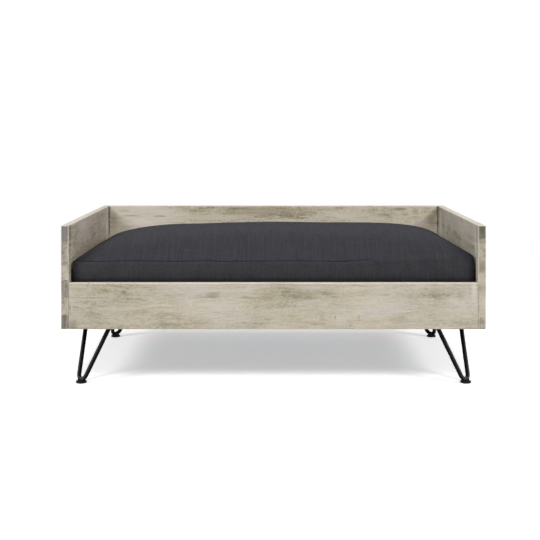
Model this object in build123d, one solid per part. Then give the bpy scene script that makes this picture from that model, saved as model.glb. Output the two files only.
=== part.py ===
from build123d import *
from math import asin, atan2, cos, hypot, sin, sqrt, tan
import os

# A dog bed: a box of four boards with a low front rail, standing on four hairpin legs. A slatted base
# inside the box carries a thick crowned cushion, whose cover opens with a zip at the back.
# Frame: X to the right, Y from front to back, Z up. The origin is on the floor, under the middle of the
# bed. All sizes are in millimetres.

# Box of boards
WIDTH = 902.0
DEPTH = 578.0
HEIGHT = 342.0
FLOOR_GAP = 122.0
BOARD = 16.0
FRONT_RAIL_HEIGHT = 98.0
BOARD_EASE = 1.5
END_EASE = 2.2

# Play around a plain pin or shank in its hole
FIT = 0.05

# Dowels in the four corners
DOWEL_DIAMETER = 8.0
DOWEL_LENGTH = 40.0
DOWEL_IN_SIDE = 11.0
DOWEL_END_PLAY = 0.5
BACK_DOWEL_HEIGHTS = (26.0, 82.0, 138.0, 194.0)
FRONT_DOWEL_HEIGHTS = (22.0, 76.0)

# Slatted base
BASE_UNDERSIDE = 152.0
LEDGER = 20.0
LEDGER_EASE = 1.0
SLAT_COUNT = 9
SLAT_WIDTH = 70.0
SLAT_THICKNESS = 12.0
SLAT_EASE = 1.5
SLAT_END_GAP = 1.0

# Corner blocks, measured from the outer faces of the two boards that meet
BLOCK_REACH = 128.0
BLOCK_TIP = 28.0
BLOCK_GAP = 0.5
BLOCK_SCREW_REACH = 112.0

# Wood screws: shank and head radius, head height and length under the top of the head
SHANK_RADIUS = 2.0
HEAD_RADIUS = 4.0
HEAD_HEIGHT = 2.0
SCREW_TIP = 3.0
SLAT_SCREW_LENGTH = 24.0
FRAME_SCREW_LENGTH = 30.0
LEG_SCREW_LENGTH = 16.0
SLAT_SCREW_SPREAD = 20.0
SCREW_SINK = 0.2
POCKET_RADIUS = 5.0
RECESS_LENGTH = 4.4
RECESS_WIDTH = 0.9
RECESS_DEPTH = 1.1

# Hairpin legs, measured from the outer faces of the two boards that meet
ROD_DIAMETER = 9.5
BEND_RADIUS = 13.0
FOOT_INSET = 36.7
ROD_TOP_FAR = 111.5
ROD_TOP_NEAR = 39.1
PLATE_THICKNESS = 3.0
PLATE_START = 22.0
PLATE_REACH = 122.0
PLATE_TIP = 24.0
PLATE_CORNER = 5.0
PLATE_HOLE_RADIUS = 2.6
PLATE_HOLES = ((38.0, 38.0), (78.0, 36.0), (36.0, 78.0), (72.0, 72.0))

# Foot pads
PAD_DIAMETER = 23.0
PAD_THICKNESS = 4.5
PAD_FLOOR = 3.5
PAD_EDGE = 1.0
SADDLE_RADIUS = 8.0
SADDLE_HEIGHT = 9.0

# Cushion
CUSHION_WIDTH = 858.0
CUSHION_FRONT_GAP = 5.0
CUSHION_BACK_GAP = 12.0
CUSHION_LIFT_PLAY = 0.4
CUSHION_EDGE_HEIGHT = 262.0
CUSHION_CORNER = 22.0
CUSHION_BOTTOM_EDGE = 6.0
CROWN = 54.0
CROWN_POWER_ACROSS = 6
CROWN_POWER_ALONG = 4
CROWN_STEPS = 24
CROWN_OVERHANG = 1.02
COVER_WALL = 1.5
INSERT_PLAY = 0.2

# Zip on the back of the cushion
ZIP_HEIGHT = 222.0
TAPE_LENGTH = 640.0
TAPE_WIDTH = 28.0
TAPE_THICKNESS = 0.8
CHAIN_LENGTH = 600.0
CHAIN_WIDTH = 5.6
CHAIN_THICKNESS = 1.6
STOP_LENGTH = 3.5
STOP_WIDTH = 7.0
STOP_THICKNESS = 2.4
SLIDER_LENGTH = 11.0
SLIDER_WIDTH = 9.6
SLIDER_PLAY = 0.4
SLIDER_WALL = 1.4
SLIDER_EASE = 0.6
SLIDER_START = -290.0
POST_RADIUS = 1.2
POST_HEAD_RADIUS = 2.2
POST_HEAD = 0.8
PULL_THICKNESS = 1.0
PULL_PLAY = 0.4
PULL_LENGTH = 22.0
PULL_EYE_RADIUS = 3.2
PULL_END_RADIUS = 3.8

# Places worked out from the sizes above
SIDE_INNER = WIDTH / 2 - BOARD
BOARD_INNER = DEPTH / 2 - BOARD
FRONT_RAIL_TOP = FLOOR_GAP + FRONT_RAIL_HEIGHT
LEDGER_TOP = BASE_UNDERSIDE + LEDGER
SLAT_TOP = LEDGER_TOP + SLAT_THICKNESS
SLAT_PITCH = 2 * SIDE_INNER / SLAT_COUNT
LEDGER_LINE = BOARD_INNER - LEDGER / 2
FRAME_SCREW_LEVEL = BASE_UNDERSIDE + LEDGER / 2
PLATE_UNDERSIDE = BASE_UNDERSIDE - PLATE_THICKNESS
ROD_RADIUS = ROD_DIAMETER / 2
CUSHION_FRONT = -BOARD_INNER + CUSHION_FRONT_GAP
CUSHION_BACK = BOARD_INNER - CUSHION_BACK_GAP
CUSHION_BOTTOM = SLAT_TOP + CUSHION_LIFT_PLAY
CHAIN_BASE = CUSHION_BACK + TAPE_THICKNESS
SLIDER_BASE = CHAIN_BASE + SLIDER_PLAY
SLIDER_TOP = CHAIN_BASE + CHAIN_THICKNESS + SLIDER_PLAY + SLIDER_WALL
PULL_BASE = SLIDER_TOP + PULL_PLAY

# Left and front are the negative sides
CORNERS = {
    "front_left": (-1, -1),
    "front_right": (1, -1),
    "back_left": (-1, 1),
    "back_right": (1, 1),
}


def box_between(low, high):
    """A box from its lowest corner to its highest."""
    size = [top - bottom for bottom, top in zip(low, high)]
    middle = [(top + bottom) / 2 for bottom, top in zip(low, high)]
    return Pos(*middle) * Box(*size)


def round_bar(point, direction, radius, length):
    """A cylinder that starts at a point and runs along a direction."""
    standing = Cylinder(radius, length, align=(Align.CENTER, Align.CENTER, Align.MIN))
    return Plane(point, z_dir=direction) * standing


def in_corner(corner, inset_x, inset_y, z):
    """A point given by its distances inward from the outer faces of the two boards at a corner."""
    side_x, side_y = CORNERS[corner]
    return Vector(side_x * (WIDTH / 2 - inset_x), side_y * (DEPTH / 2 - inset_y), z)


def corner_plate(corner, start, reach, tip, bottom, thickness, rounding=0.0):
    """A right-angled plate in a corner: its two tips are cut square and its long side runs at 45 degrees."""
    diagonal = start + tip
    outline = [(start, start), (reach, start), (reach, diagonal), (diagonal, reach), (start, reach)]
    face = make_face(Polyline([in_corner(corner, *point, bottom) for point in outline], close=True))
    if rounding:
        face = fillet(face.vertices(), rounding)
    return extrude(face, amount=thickness, dir=(0, 0, 1))


def flat_screw(length, grow=0.0):
    """A countersunk wood screw with its head's top at the origin, pointing down. Grown, it cuts its hole."""
    shank_end = length - SCREW_TIP
    head = Pos(0, 0, -HEAD_HEIGHT / 2) * Cone(SHANK_RADIUS + grow, HEAD_RADIUS + grow, HEAD_HEIGHT)
    shank = round_bar((0, 0, 0), (0, 0, -1), SHANK_RADIUS + grow, shank_end + grow)
    point = Pos(0, 0, -shank_end - grow - SCREW_TIP / 2) * Cone(0.2, SHANK_RADIUS + grow, SCREW_TIP)
    return head + shank + point


def dome_screw(length, grow=0.0):
    """A round-headed wood screw with the underside of its head at the origin, pointing down."""
    shank_end = length - SCREW_TIP
    shank = round_bar((0, 0, 0), (0, 0, -1), SHANK_RADIUS + grow, shank_end + grow)
    point = Pos(0, 0, -shank_end - grow - SCREW_TIP / 2) * Cone(0.2, SHANK_RADIUS + grow, SCREW_TIP)
    head = Cylinder(HEAD_RADIUS, HEAD_HEIGHT, align=(Align.CENTER, Align.CENTER, Align.MIN))
    head = fillet(head.edges().group_by(Axis.Z)[-1], HEAD_HEIGHT * 0.7)
    return head + shank + point


def cross_recess(top):
    """The cross-shaped driver recess in a screw head whose top is at the given height."""
    middle = Pos(0, 0, top - RECESS_DEPTH / 2)
    one = middle * Box(RECESS_LENGTH, RECESS_WIDTH, RECESS_DEPTH)
    other = middle * Box(RECESS_WIDTH, RECESS_LENGTH, RECESS_DEPTH)
    return one + other


def slat_middle(number):
    """The X of a slat's middle line, counted from the left."""
    return (number - (SLAT_COUNT - 1) / 2) * SLAT_PITCH


def slat_screw_places():
    """Where the slats' screw heads sit, two at each end of each slat."""
    places = []
    for number in range(SLAT_COUNT):
        for side in (-1, 1):
            for spread in (-SLAT_SCREW_SPREAD, SLAT_SCREW_SPREAD):
                head = (slat_middle(number) + spread, side * LEDGER_LINE, SLAT_TOP - SCREW_SINK)
                places.append(Plane(head, z_dir=(0, 0, 1)))
    return places


def ledger_screw_places():
    """Where the ledgers' screw heads sit, in line with gaps between the slats."""
    places = []
    for side in (-1, 1):
        for gap in (-2.5, -0.5, 0.5, 2.5):
            head = (gap * SLAT_PITCH, side * (BOARD_INNER - LEDGER + SCREW_SINK), FRAME_SCREW_LEVEL)
            places.append(Plane(head, z_dir=(0, -side, 0)))
    return places


def block_screw_places():
    """Where the corner blocks' screw heads sit, one towards each of the two boards."""
    seat = BOARD + LEDGER
    places = []
    for corner, (side_x, side_y) in CORNERS.items():
        towards_board = in_corner(corner, BLOCK_SCREW_REACH, seat, FRAME_SCREW_LEVEL)
        places.append(Plane(towards_board, z_dir=(0, -side_y, 0)))
        towards_side = in_corner(corner, seat, BLOCK_SCREW_REACH, FRAME_SCREW_LEVEL)
        places.append(Plane(towards_side, z_dir=(-side_x, 0, 0)))
    return places


def leg_screw_places():
    """Where the leg plates' screw heads bear, on the underside of each plate."""
    places = []
    for corner in CORNERS:
        for hole in PLATE_HOLES:
            places.append(Plane(in_corner(corner, *hole, PLATE_UNDERSIDE), z_dir=(0, 0, -1)))
    return places


def dowel_places():
    """Where the dowels start in the side panels, each with the direction in which it runs."""
    places = []
    for side in (-1, 1):
        start_x = side * (SIDE_INNER + DOWEL_IN_SIDE)
        for line, heights in ((1, BACK_DOWEL_HEIGHTS), (-1, FRONT_DOWEL_HEIGHTS)):
            for height in heights:
                start = Vector(start_x, line * (DEPTH / 2 - BOARD / 2), FLOOR_GAP + height)
                places.append((start, Vector(-side, 0, 0)))
    return places


def screw_holes():
    """Everything that the screws take out of the wood, with the pockets that lead to the block screws."""
    slat_hole = flat_screw(SLAT_SCREW_LENGTH, FIT)
    frame_hole = flat_screw(FRAME_SCREW_LENGTH, FIT)
    leg_hole = dome_screw(LEG_SCREW_LENGTH, FIT)
    holes = [place * slat_hole for place in slat_screw_places()]
    holes += [place * frame_hole for place in ledger_screw_places() + block_screw_places()]
    holes += [place * leg_hole for place in leg_screw_places()]
    pocket = Cylinder(POCKET_RADIUS, BLOCK_TIP, align=(Align.CENTER, Align.CENTER, Align.MIN))
    holes += [place * pocket for place in block_screw_places()]
    return holes


def dowel_holes():
    """The dowels' holes, a little longer than the dowels at both ends."""
    length = DOWEL_LENGTH + 2 * DOWEL_END_PLAY
    radius = DOWEL_DIAMETER / 2 + FIT
    return [round_bar(start - run * DOWEL_END_PLAY, run, radius, length) for start, run in dowel_places()]


def bored(wood, holes):
    """A piece of wood with the holes that reach it."""
    room = wood.bounding_box()
    reaching = [hole for hole in holes if boxes_meet(room, hole.bounding_box())]
    for hole in reaching:
        wood = wood - hole
    return wood


def boxes_meet(one, other):
    """Whether two bounding boxes overlap."""
    lows = (max(one.min.X, other.min.X), max(one.min.Y, other.min.Y), max(one.min.Z, other.min.Z))
    highs = (min(one.max.X, other.max.X), min(one.max.Y, other.max.Y), min(one.max.Z, other.max.Z))
    return all(low < high for low, high in zip(lows, highs))


def boards():
    """The four boards of the box. The two that butt against the sides have rounder ends."""
    pieces = {}
    for name, side in (("left_side_panel", -1), ("right_side_panel", 1)):
        low, high = sorted((side * SIDE_INNER, side * WIDTH / 2))
        panel = box_between((low, -DEPTH / 2, FLOOR_GAP), (high, DEPTH / 2, HEIGHT))
        pieces[name] = fillet(panel.edges(), BOARD_EASE)
    back = box_between((-SIDE_INNER, BOARD_INNER, FLOOR_GAP), (SIDE_INNER, DEPTH / 2, HEIGHT))
    front = box_between((-SIDE_INNER, -DEPTH / 2, FLOOR_GAP), (SIDE_INNER, -BOARD_INNER, FRONT_RAIL_TOP))
    for name, board in (("back_panel", back), ("front_rail", front)):
        board = fillet(board.edges().filter_by(Axis.Z), END_EASE)
        long_edges = board.edges().filter_by(Axis.X)
        pieces[name] = fillet(long_edges, BOARD_EASE)
    return pieces


def ledgers():
    """The two strips that carry the slats, between the corner blocks."""
    half = WIDTH / 2 - BLOCK_REACH - BLOCK_GAP
    pieces = {}
    for name, side in (("front_ledger", -1), ("back_ledger", 1)):
        low, high = sorted((side * (BOARD_INNER - LEDGER), side * BOARD_INNER))
        strip = box_between((-half, low, BASE_UNDERSIDE), (half, high, LEDGER_TOP))
        pieces[name] = chamfer(strip.edges(), LEDGER_EASE)
    return pieces


def slats():
    """The slats of the base, from front to back."""
    end = BOARD_INNER - SLAT_END_GAP
    pieces = {}
    for number in range(SLAT_COUNT):
        low_x = slat_middle(number) - SLAT_WIDTH / 2
        slat = box_between((low_x, -end, LEDGER_TOP), (low_x + SLAT_WIDTH, end, SLAT_TOP))
        pieces[f"slat_{number + 1}"] = fillet(slat.edges().filter_by(Axis.Y), SLAT_EASE)
    return pieces


def corner_blocks():
    """The glue blocks in the four corners."""
    pieces = {}
    for corner in CORNERS:
        block = corner_plate(corner, BOARD, BLOCK_REACH, BLOCK_TIP, BASE_UNDERSIDE, LEDGER)
        pieces[f"corner_block_{corner}"] = block
    return pieces


def fasteners():
    """The dowels and the three groups of screws."""
    slat_screw = flat_screw(SLAT_SCREW_LENGTH) - cross_recess(0)
    frame_screw = flat_screw(FRAME_SCREW_LENGTH) - cross_recess(0)
    leg_screw = dome_screw(LEG_SCREW_LENGTH) - cross_recess(HEAD_HEIGHT)
    frame_places = ledger_screw_places() + block_screw_places()
    dowels = [round_bar(start, run, DOWEL_DIAMETER / 2, DOWEL_LENGTH) for start, run in dowel_places()]
    return {
        "panel_dowels": Compound(children=dowels),
        "slat_screws": Compound(children=[place * slat_screw for place in slat_screw_places()]),
        "frame_screws": Compound(children=[place * frame_screw for place in frame_places]),
        "leg_screws": Compound(children=[place * leg_screw for place in leg_screw_places()]),
    }


def hairpin(corner, radius):
    """The rod of one leg, cut level under its plate.

    The rod lies in one leaning plane. Its two straight runs are tangents from the tops to the bend."""
    low = Vector(FOOT_INSET, FOOT_INSET, PAD_FLOOR + ROD_RADIUS)
    middle = (ROD_TOP_FAR + ROD_TOP_NEAR) / 2
    lean = Vector(middle, middle, PLATE_UNDERSIDE) - low
    up = lean.normalized()
    across = Vector(1, -1, 0).normalized()
    half_spread = (ROD_TOP_FAR - ROD_TOP_NEAR) / sqrt(2)
    above_bend = lean.length - BEND_RADIUS
    opening = atan2(half_spread, above_bend) - asin(BEND_RADIUS / hypot(half_spread, above_bend))
    past_plate = ROD_DIAMETER

    def place(side, height):
        point = low + across * side + up * height
        return in_corner(corner, point.X, point.Y, point.Z)

    touch_side = BEND_RADIUS * cos(opening)
    touch_height = BEND_RADIUS * (1 - sin(opening))
    top_side = half_spread + past_plate * tan(opening)
    top_height = lean.length + past_plate
    first = Line(place(top_side, top_height), place(touch_side, touch_height))
    bend = ThreePointArc(place(touch_side, touch_height), place(0, 0), place(-touch_side, touch_height))
    second = Line(place(-touch_side, touch_height), place(-top_side, top_height))
    path = Wire([first, bend, second])
    section = Plane(path @ 0, z_dir=path % 0) * Circle(radius)
    rod = sweep(section, path=path)
    return split(rod, bisect_by=Plane((0, 0, PLATE_UNDERSIDE)), keep=Keep.BOTTOM)


def legs():
    """The rods, plates and foot pads of the four legs."""
    pieces = {}
    for corner in CORNERS:
        pieces[f"hairpin_rod_{corner}"] = hairpin(corner, ROD_RADIUS)
        plate = corner_plate(
            corner, PLATE_START, PLATE_REACH, PLATE_TIP, PLATE_UNDERSIDE, PLATE_THICKNESS, PLATE_CORNER
        )
        for hole in PLATE_HOLES:
            bottom = in_corner(corner, *hole, PLATE_UNDERSIDE)
            plate = plate - round_bar(bottom, (0, 0, 1), PLATE_HOLE_RADIUS, PLATE_THICKNESS)
        pieces[f"leg_plate_{corner}"] = plate
        floor_point = in_corner(corner, FOOT_INSET, FOOT_INSET, 0)
        disc = round_bar(floor_point, (0, 0, 1), PAD_DIAMETER / 2, PAD_THICKNESS)
        disc = fillet(disc.edges().filter_by(GeomType.CIRCLE), PAD_EDGE)
        saddle = round_bar(floor_point, (0, 0, 1), SADDLE_RADIUS, SADDLE_HEIGHT)
        pieces[f"foot_pad_{corner}"] = disc + saddle - hairpin(corner, ROD_RADIUS + FIT)
    return pieces


def crowned_block(shrink):
    """The cushion's shape, smaller by the given distance all round.

    Straight sides rise to the edge. Over them the top swells: the crown times two flat-topped curves,
    one across and one along the bed, which are 1 in the middle and 0 at the edges."""
    half_width = CUSHION_WIDTH / 2 - shrink
    half_depth = (CUSHION_BACK - CUSHION_FRONT) / 2 - shrink
    middle_y = (CUSHION_BACK + CUSHION_FRONT) / 2
    bottom = CUSHION_BOTTOM + shrink
    edge = CUSHION_EDGE_HEIGHT - shrink

    def top_point(column, row):
        across = CROWN_OVERHANG * (2 * column / CROWN_STEPS - 1)
        along = CROWN_OVERHANG * (2 * row / CROWN_STEPS - 1)
        swell = (1 - abs(across) ** CROWN_POWER_ACROSS) * (1 - abs(along) ** CROWN_POWER_ALONG)
        return Vector(half_width * across, middle_y + half_depth * along, edge + CROWN * swell)

    steps = range(CROWN_STEPS + 1)
    top = Face.make_surface_from_array_of_points([[top_point(i, j) for j in steps] for i in steps])
    outline = RectangleRounded(2 * half_width, 2 * half_depth, CUSHION_CORNER - shrink)
    block = extrude(Pos(0, middle_y, bottom) * outline, amount=edge + 2 * CROWN - bottom)
    block = fillet(block.edges().group_by(Axis.Z)[0], CUSHION_BOTTOM_EDGE)
    halves = split(block, bisect_by=top, keep=Keep.ALL).solids()
    return halves.sort_by(Axis.Z)[0]


def zip_fastener():
    """The zip: tape and chain on the cover's back, stops, and the slider with its hanging pull."""
    tape = box_between(
        (-TAPE_LENGTH / 2, CUSHION_BACK, ZIP_HEIGHT - TAPE_WIDTH / 2),
        (TAPE_LENGTH / 2, CHAIN_BASE, ZIP_HEIGHT + TAPE_WIDTH / 2),
    )
    chain_end = CHAIN_LENGTH / 2 - STOP_LENGTH
    chain = box_between(
        (-chain_end, CHAIN_BASE, ZIP_HEIGHT - CHAIN_WIDTH / 2),
        (chain_end, CHAIN_BASE + CHAIN_THICKNESS, ZIP_HEIGHT + CHAIN_WIDTH / 2),
    )
    stops = []
    for low_x in (-CHAIN_LENGTH / 2, chain_end):
        stop = box_between(
            (low_x, CHAIN_BASE, ZIP_HEIGHT - STOP_WIDTH / 2),
            (low_x + STOP_LENGTH, CHAIN_BASE + STOP_THICKNESS, ZIP_HEIGHT + STOP_WIDTH / 2),
        )
        stops.append(fillet(stop.edges().group_by(Axis.Y)[-1], SLIDER_EASE))
    low_x = SLIDER_START - SLIDER_LENGTH / 2
    body = box_between(
        (low_x, SLIDER_BASE, ZIP_HEIGHT - SLIDER_WIDTH / 2),
        (low_x + SLIDER_LENGTH, SLIDER_TOP, ZIP_HEIGHT + SLIDER_WIDTH / 2),
    )
    body = fillet(body.edges().group_by(Axis.Y)[-1], SLIDER_EASE)
    channel = box_between(
        (low_x, SLIDER_BASE, ZIP_HEIGHT - CHAIN_WIDTH / 2 - SLIDER_PLAY),
        (low_x + SLIDER_LENGTH, SLIDER_TOP - SLIDER_WALL, ZIP_HEIGHT + CHAIN_WIDTH / 2 + SLIDER_PLAY),
    )
    pin = Vector(SLIDER_START, SLIDER_TOP, ZIP_HEIGHT)
    backward = Vector(0, 1, 0)
    post_length = PULL_THICKNESS + 2 * PULL_PLAY
    post = round_bar(pin, backward, POST_RADIUS, post_length)
    head = round_bar(pin + backward * post_length, backward, POST_HEAD_RADIUS, POST_HEAD)
    return {
        "zipper_tape": tape,
        "zipper_chain": chain,
        "zipper_stops": Compound(children=stops),
        "zipper_slider": body - channel + post + head,
        "zipper_pull": pull_tab(),
    }


def pull_tab():
    """The pull: an eye on the slider's post and a widening tab that hangs from it."""
    eye = Circle(PULL_EYE_RADIUS)
    end = Pos(0, PULL_EYE_RADIUS + PULL_END_RADIUS - PULL_LENGTH) * Circle(PULL_END_RADIUS)
    outline = make_hull(eye.edges() + end.edges())
    outline = outline - Circle(POST_RADIUS + PULL_PLAY)
    plane = Plane((SLIDER_START, PULL_BASE, ZIP_HEIGHT), x_dir=(-1, 0, 0), z_dir=(0, 1, 0))
    return extrude(plane * outline, amount=PULL_THICKNESS)


def all_pieces():
    """Every piece of the bed by name."""
    wood = {**boards(), **ledgers(), **slats(), **corner_blocks()}
    holes = screw_holes() + dowel_holes()
    pieces = {name: bored(piece, holes) for name, piece in wood.items()}
    pieces.update(fasteners())
    pieces.update(legs())
    pieces["cushion_cover"] = crowned_block(0) - crowned_block(COVER_WALL)
    pieces["cushion_insert"] = crowned_block(COVER_WALL + INSERT_PLAY)
    pieces.update(zip_fastener())
    return pieces


os.makedirs("parts", exist_ok=True)
for node, shape in all_pieces().items():
    export_step(shape, f"parts/{node}.step")
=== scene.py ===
import functools
import math

import bmesh
import bpy
import numpy as np
from bpy.props import FloatProperty, FloatVectorProperty, IntProperty, PointerProperty
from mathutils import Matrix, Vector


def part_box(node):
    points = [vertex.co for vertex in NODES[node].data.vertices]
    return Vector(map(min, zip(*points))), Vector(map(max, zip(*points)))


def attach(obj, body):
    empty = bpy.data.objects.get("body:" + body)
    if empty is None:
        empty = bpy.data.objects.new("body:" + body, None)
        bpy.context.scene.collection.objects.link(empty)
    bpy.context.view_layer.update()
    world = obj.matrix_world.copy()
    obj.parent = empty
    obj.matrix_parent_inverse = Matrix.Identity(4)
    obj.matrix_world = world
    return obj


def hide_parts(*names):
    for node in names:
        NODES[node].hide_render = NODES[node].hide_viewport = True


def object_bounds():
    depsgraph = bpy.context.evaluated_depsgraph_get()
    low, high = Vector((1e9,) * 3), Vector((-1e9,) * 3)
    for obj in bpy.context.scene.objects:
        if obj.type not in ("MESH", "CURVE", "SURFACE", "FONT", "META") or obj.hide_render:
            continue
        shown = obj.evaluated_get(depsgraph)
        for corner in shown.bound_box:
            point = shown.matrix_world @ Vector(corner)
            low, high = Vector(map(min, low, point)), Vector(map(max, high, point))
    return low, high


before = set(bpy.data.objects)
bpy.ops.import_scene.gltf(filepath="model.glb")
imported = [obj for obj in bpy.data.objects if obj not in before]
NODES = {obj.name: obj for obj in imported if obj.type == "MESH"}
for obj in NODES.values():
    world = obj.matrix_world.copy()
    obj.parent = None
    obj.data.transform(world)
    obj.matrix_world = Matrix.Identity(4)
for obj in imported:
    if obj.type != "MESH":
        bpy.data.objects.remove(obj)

# Dresses the dog bed: washed boards, a pine base, black hairpin legs, a stuffed cushion with its zip,
# and a white stage seen by a level camera. X runs to the right, Y to the back and Z up, in metres.

bl_info = {
    "name": "Dog Bed Dresser",
    "version": (1, 0, 0),
    "blender": (4, 5, 0),
    "location": "View3D > Sidebar > Dog Bed",
    "description": "Dresses a dog bed's solids with finishes, a simulated cushion, a zip and a stage",
    "category": "Object",
}

CAD_LOW, CAD_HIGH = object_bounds()
CORNERS = ("front_left", "front_right", "back_left", "back_right")
COVER_LOW, COVER_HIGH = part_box("cushion_cover")
CHAIN_LOW, CHAIN_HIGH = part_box("zipper_chain")
TAPE_LOW, TAPE_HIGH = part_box("zipper_tape")
RAIL_LOW, RAIL_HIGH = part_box("front_rail")
BACK_LOW, BACK_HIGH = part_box("back_panel")
SIDE_LOW, SIDE_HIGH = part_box("left_side_panel")


# Settings that a user would change


def swatch(name, description, default):
    """A colour to set."""
    return FloatVectorProperty(
        name=name, description=description, default=default, subtype="COLOR", size=3, min=0, max=1)


def span(name, description, default):
    """A length to set, in metres."""
    return FloatProperty(name=name, description=description, default=default, min=0, unit="LENGTH")


class BoardFinish(bpy.types.PropertyGroup):
    """The grey wash on the four outer boards."""

    pale: swatch("Pale wash", "Wash where it lies thick, a little pink", (0.610, 0.552, 0.472))
    mid: swatch("Washed wood", "Wood under an even wash", (0.500, 0.455, 0.355))
    dark: swatch("Rubbed wood", "Wood where the wash is rubbed thin, a little green", (0.285, 0.254, 0.168))
    bleached: swatch("Bleached wood", "Worn edges and the palest patches", (0.715, 0.663, 0.592))
    brown: swatch("Brown wood", "Patches where the bare wood shows", (0.338, 0.297, 0.205))
    grey: swatch("Grey wood", "Weathered patches", (0.278, 0.242, 0.199))
    end: swatch("End grain", "Tint of the boards' ends", (0.93, 0.935, 0.96))
    stain: swatch("Stain", "Knots, mineral streaks and open pores", (0.120, 0.100, 0.066))
    relief: span("Grain relief", "Depth of the grain", 0.0004)


class BaseFinish(bpy.types.PropertyGroup):
    """Unfinished pine of the slats, ledgers and corner blocks."""

    pale: swatch("Early wood", "Pale part of the grain", (0.660, 0.500, 0.310))
    mid: swatch("Middle wood", "Most of the grain", (0.560, 0.400, 0.230))
    dark: swatch("Late wood", "Dark part of the grain", (0.450, 0.290, 0.145))


class LegFinish(bpy.types.PropertyGroup):
    """Black powder coat of the rods and plates."""

    coat: swatch("Coat", "Colour of the powder coat", (0.004, 0.004, 0.0044))
    # Painted highlight: the lighter coat colour on the sides that face outwards
    painted_highlight: swatch("Painted highlight", "Coat on the sides that face outwards", (0.078, 0.078, 0.080))
    weld: span("Weld bead", "Radius of the bead round a rod's top", 0.0017)


class CushionMake(bpy.types.PropertyGroup):
    """Shape and cloth of the cushion."""

    crown: span("Crown", "Rise of the top panel before it is filled", 0.0424)
    right_lift: FloatProperty(
        name="Right lift", description="How much higher the seam is at the right end than elsewhere",
        default=0.013, unit="LENGTH")
    cell: FloatProperty(
        name="Cell", description="Width of the cloth mesh's cells", default=0.0065, min=0.003,
        unit="LENGTH")
    pressure: FloatProperty(
        name="Pressure", description="Pressure of the filling in the simulation", default=4.0, min=0)
    swell: span("Swell", "Furthest that a point may move in the simulation", 0.009)
    frames: IntProperty(
        name="Frames", description="Steps of the simulation", default=20, min=1)
    seam: span("Seam depth", "Depth of the sewn seam", 0.0026)
    warp: swatch("Warp", "Threads from front to back", (0.0525, 0.0522, 0.0660))
    weft: swatch("Weft", "Threads from side to side", (0.036, 0.0361, 0.0415))
    thread: FloatProperty(
        name="Thread", description="Distance between threads", default=0.0013, min=0.0004, unit="LENGTH")


class StageSetup(bpy.types.PropertyGroup):
    """Camera and light. The camera is level, and its lens is shifted down as in the photograph."""

    camera: FloatVectorProperty(
        name="Camera", description="Place of the camera", subtype="XYZ", unit="LENGTH", size=3,
        default=(0.0, -2.5655, 0.5539))
    focal: FloatProperty(
        name="Focal length", description="In pixels of the square picture", default=1072.8, min=1)
    picture: FloatProperty(
        name="Picture", description="Side of the square picture in pixels", default=540.0, min=1)
    aim: FloatVectorProperty(
        name="Aim", description="Pixel that the camera's axis passes through", size=2,
        default=(273.45, 125.75))
    front_power: FloatProperty(
        name="Front lamps", description="Power of each of the two front lamps", default=84.0, min=0,
        unit="POWER")
    top_power: FloatProperty(
        name="Top lamp", description="Power of the lamp overhead", default=45.0, min=0, unit="POWER")
    ambient: FloatProperty(
        name="Ambient", description="Strength of the light from all round", default=0.18, min=0)
    floor_lift: FloatProperty(
        name="Floor lift", description="White added to the floor as the camera sees it", default=0.412,
        min=0)


# Nodes


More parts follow.
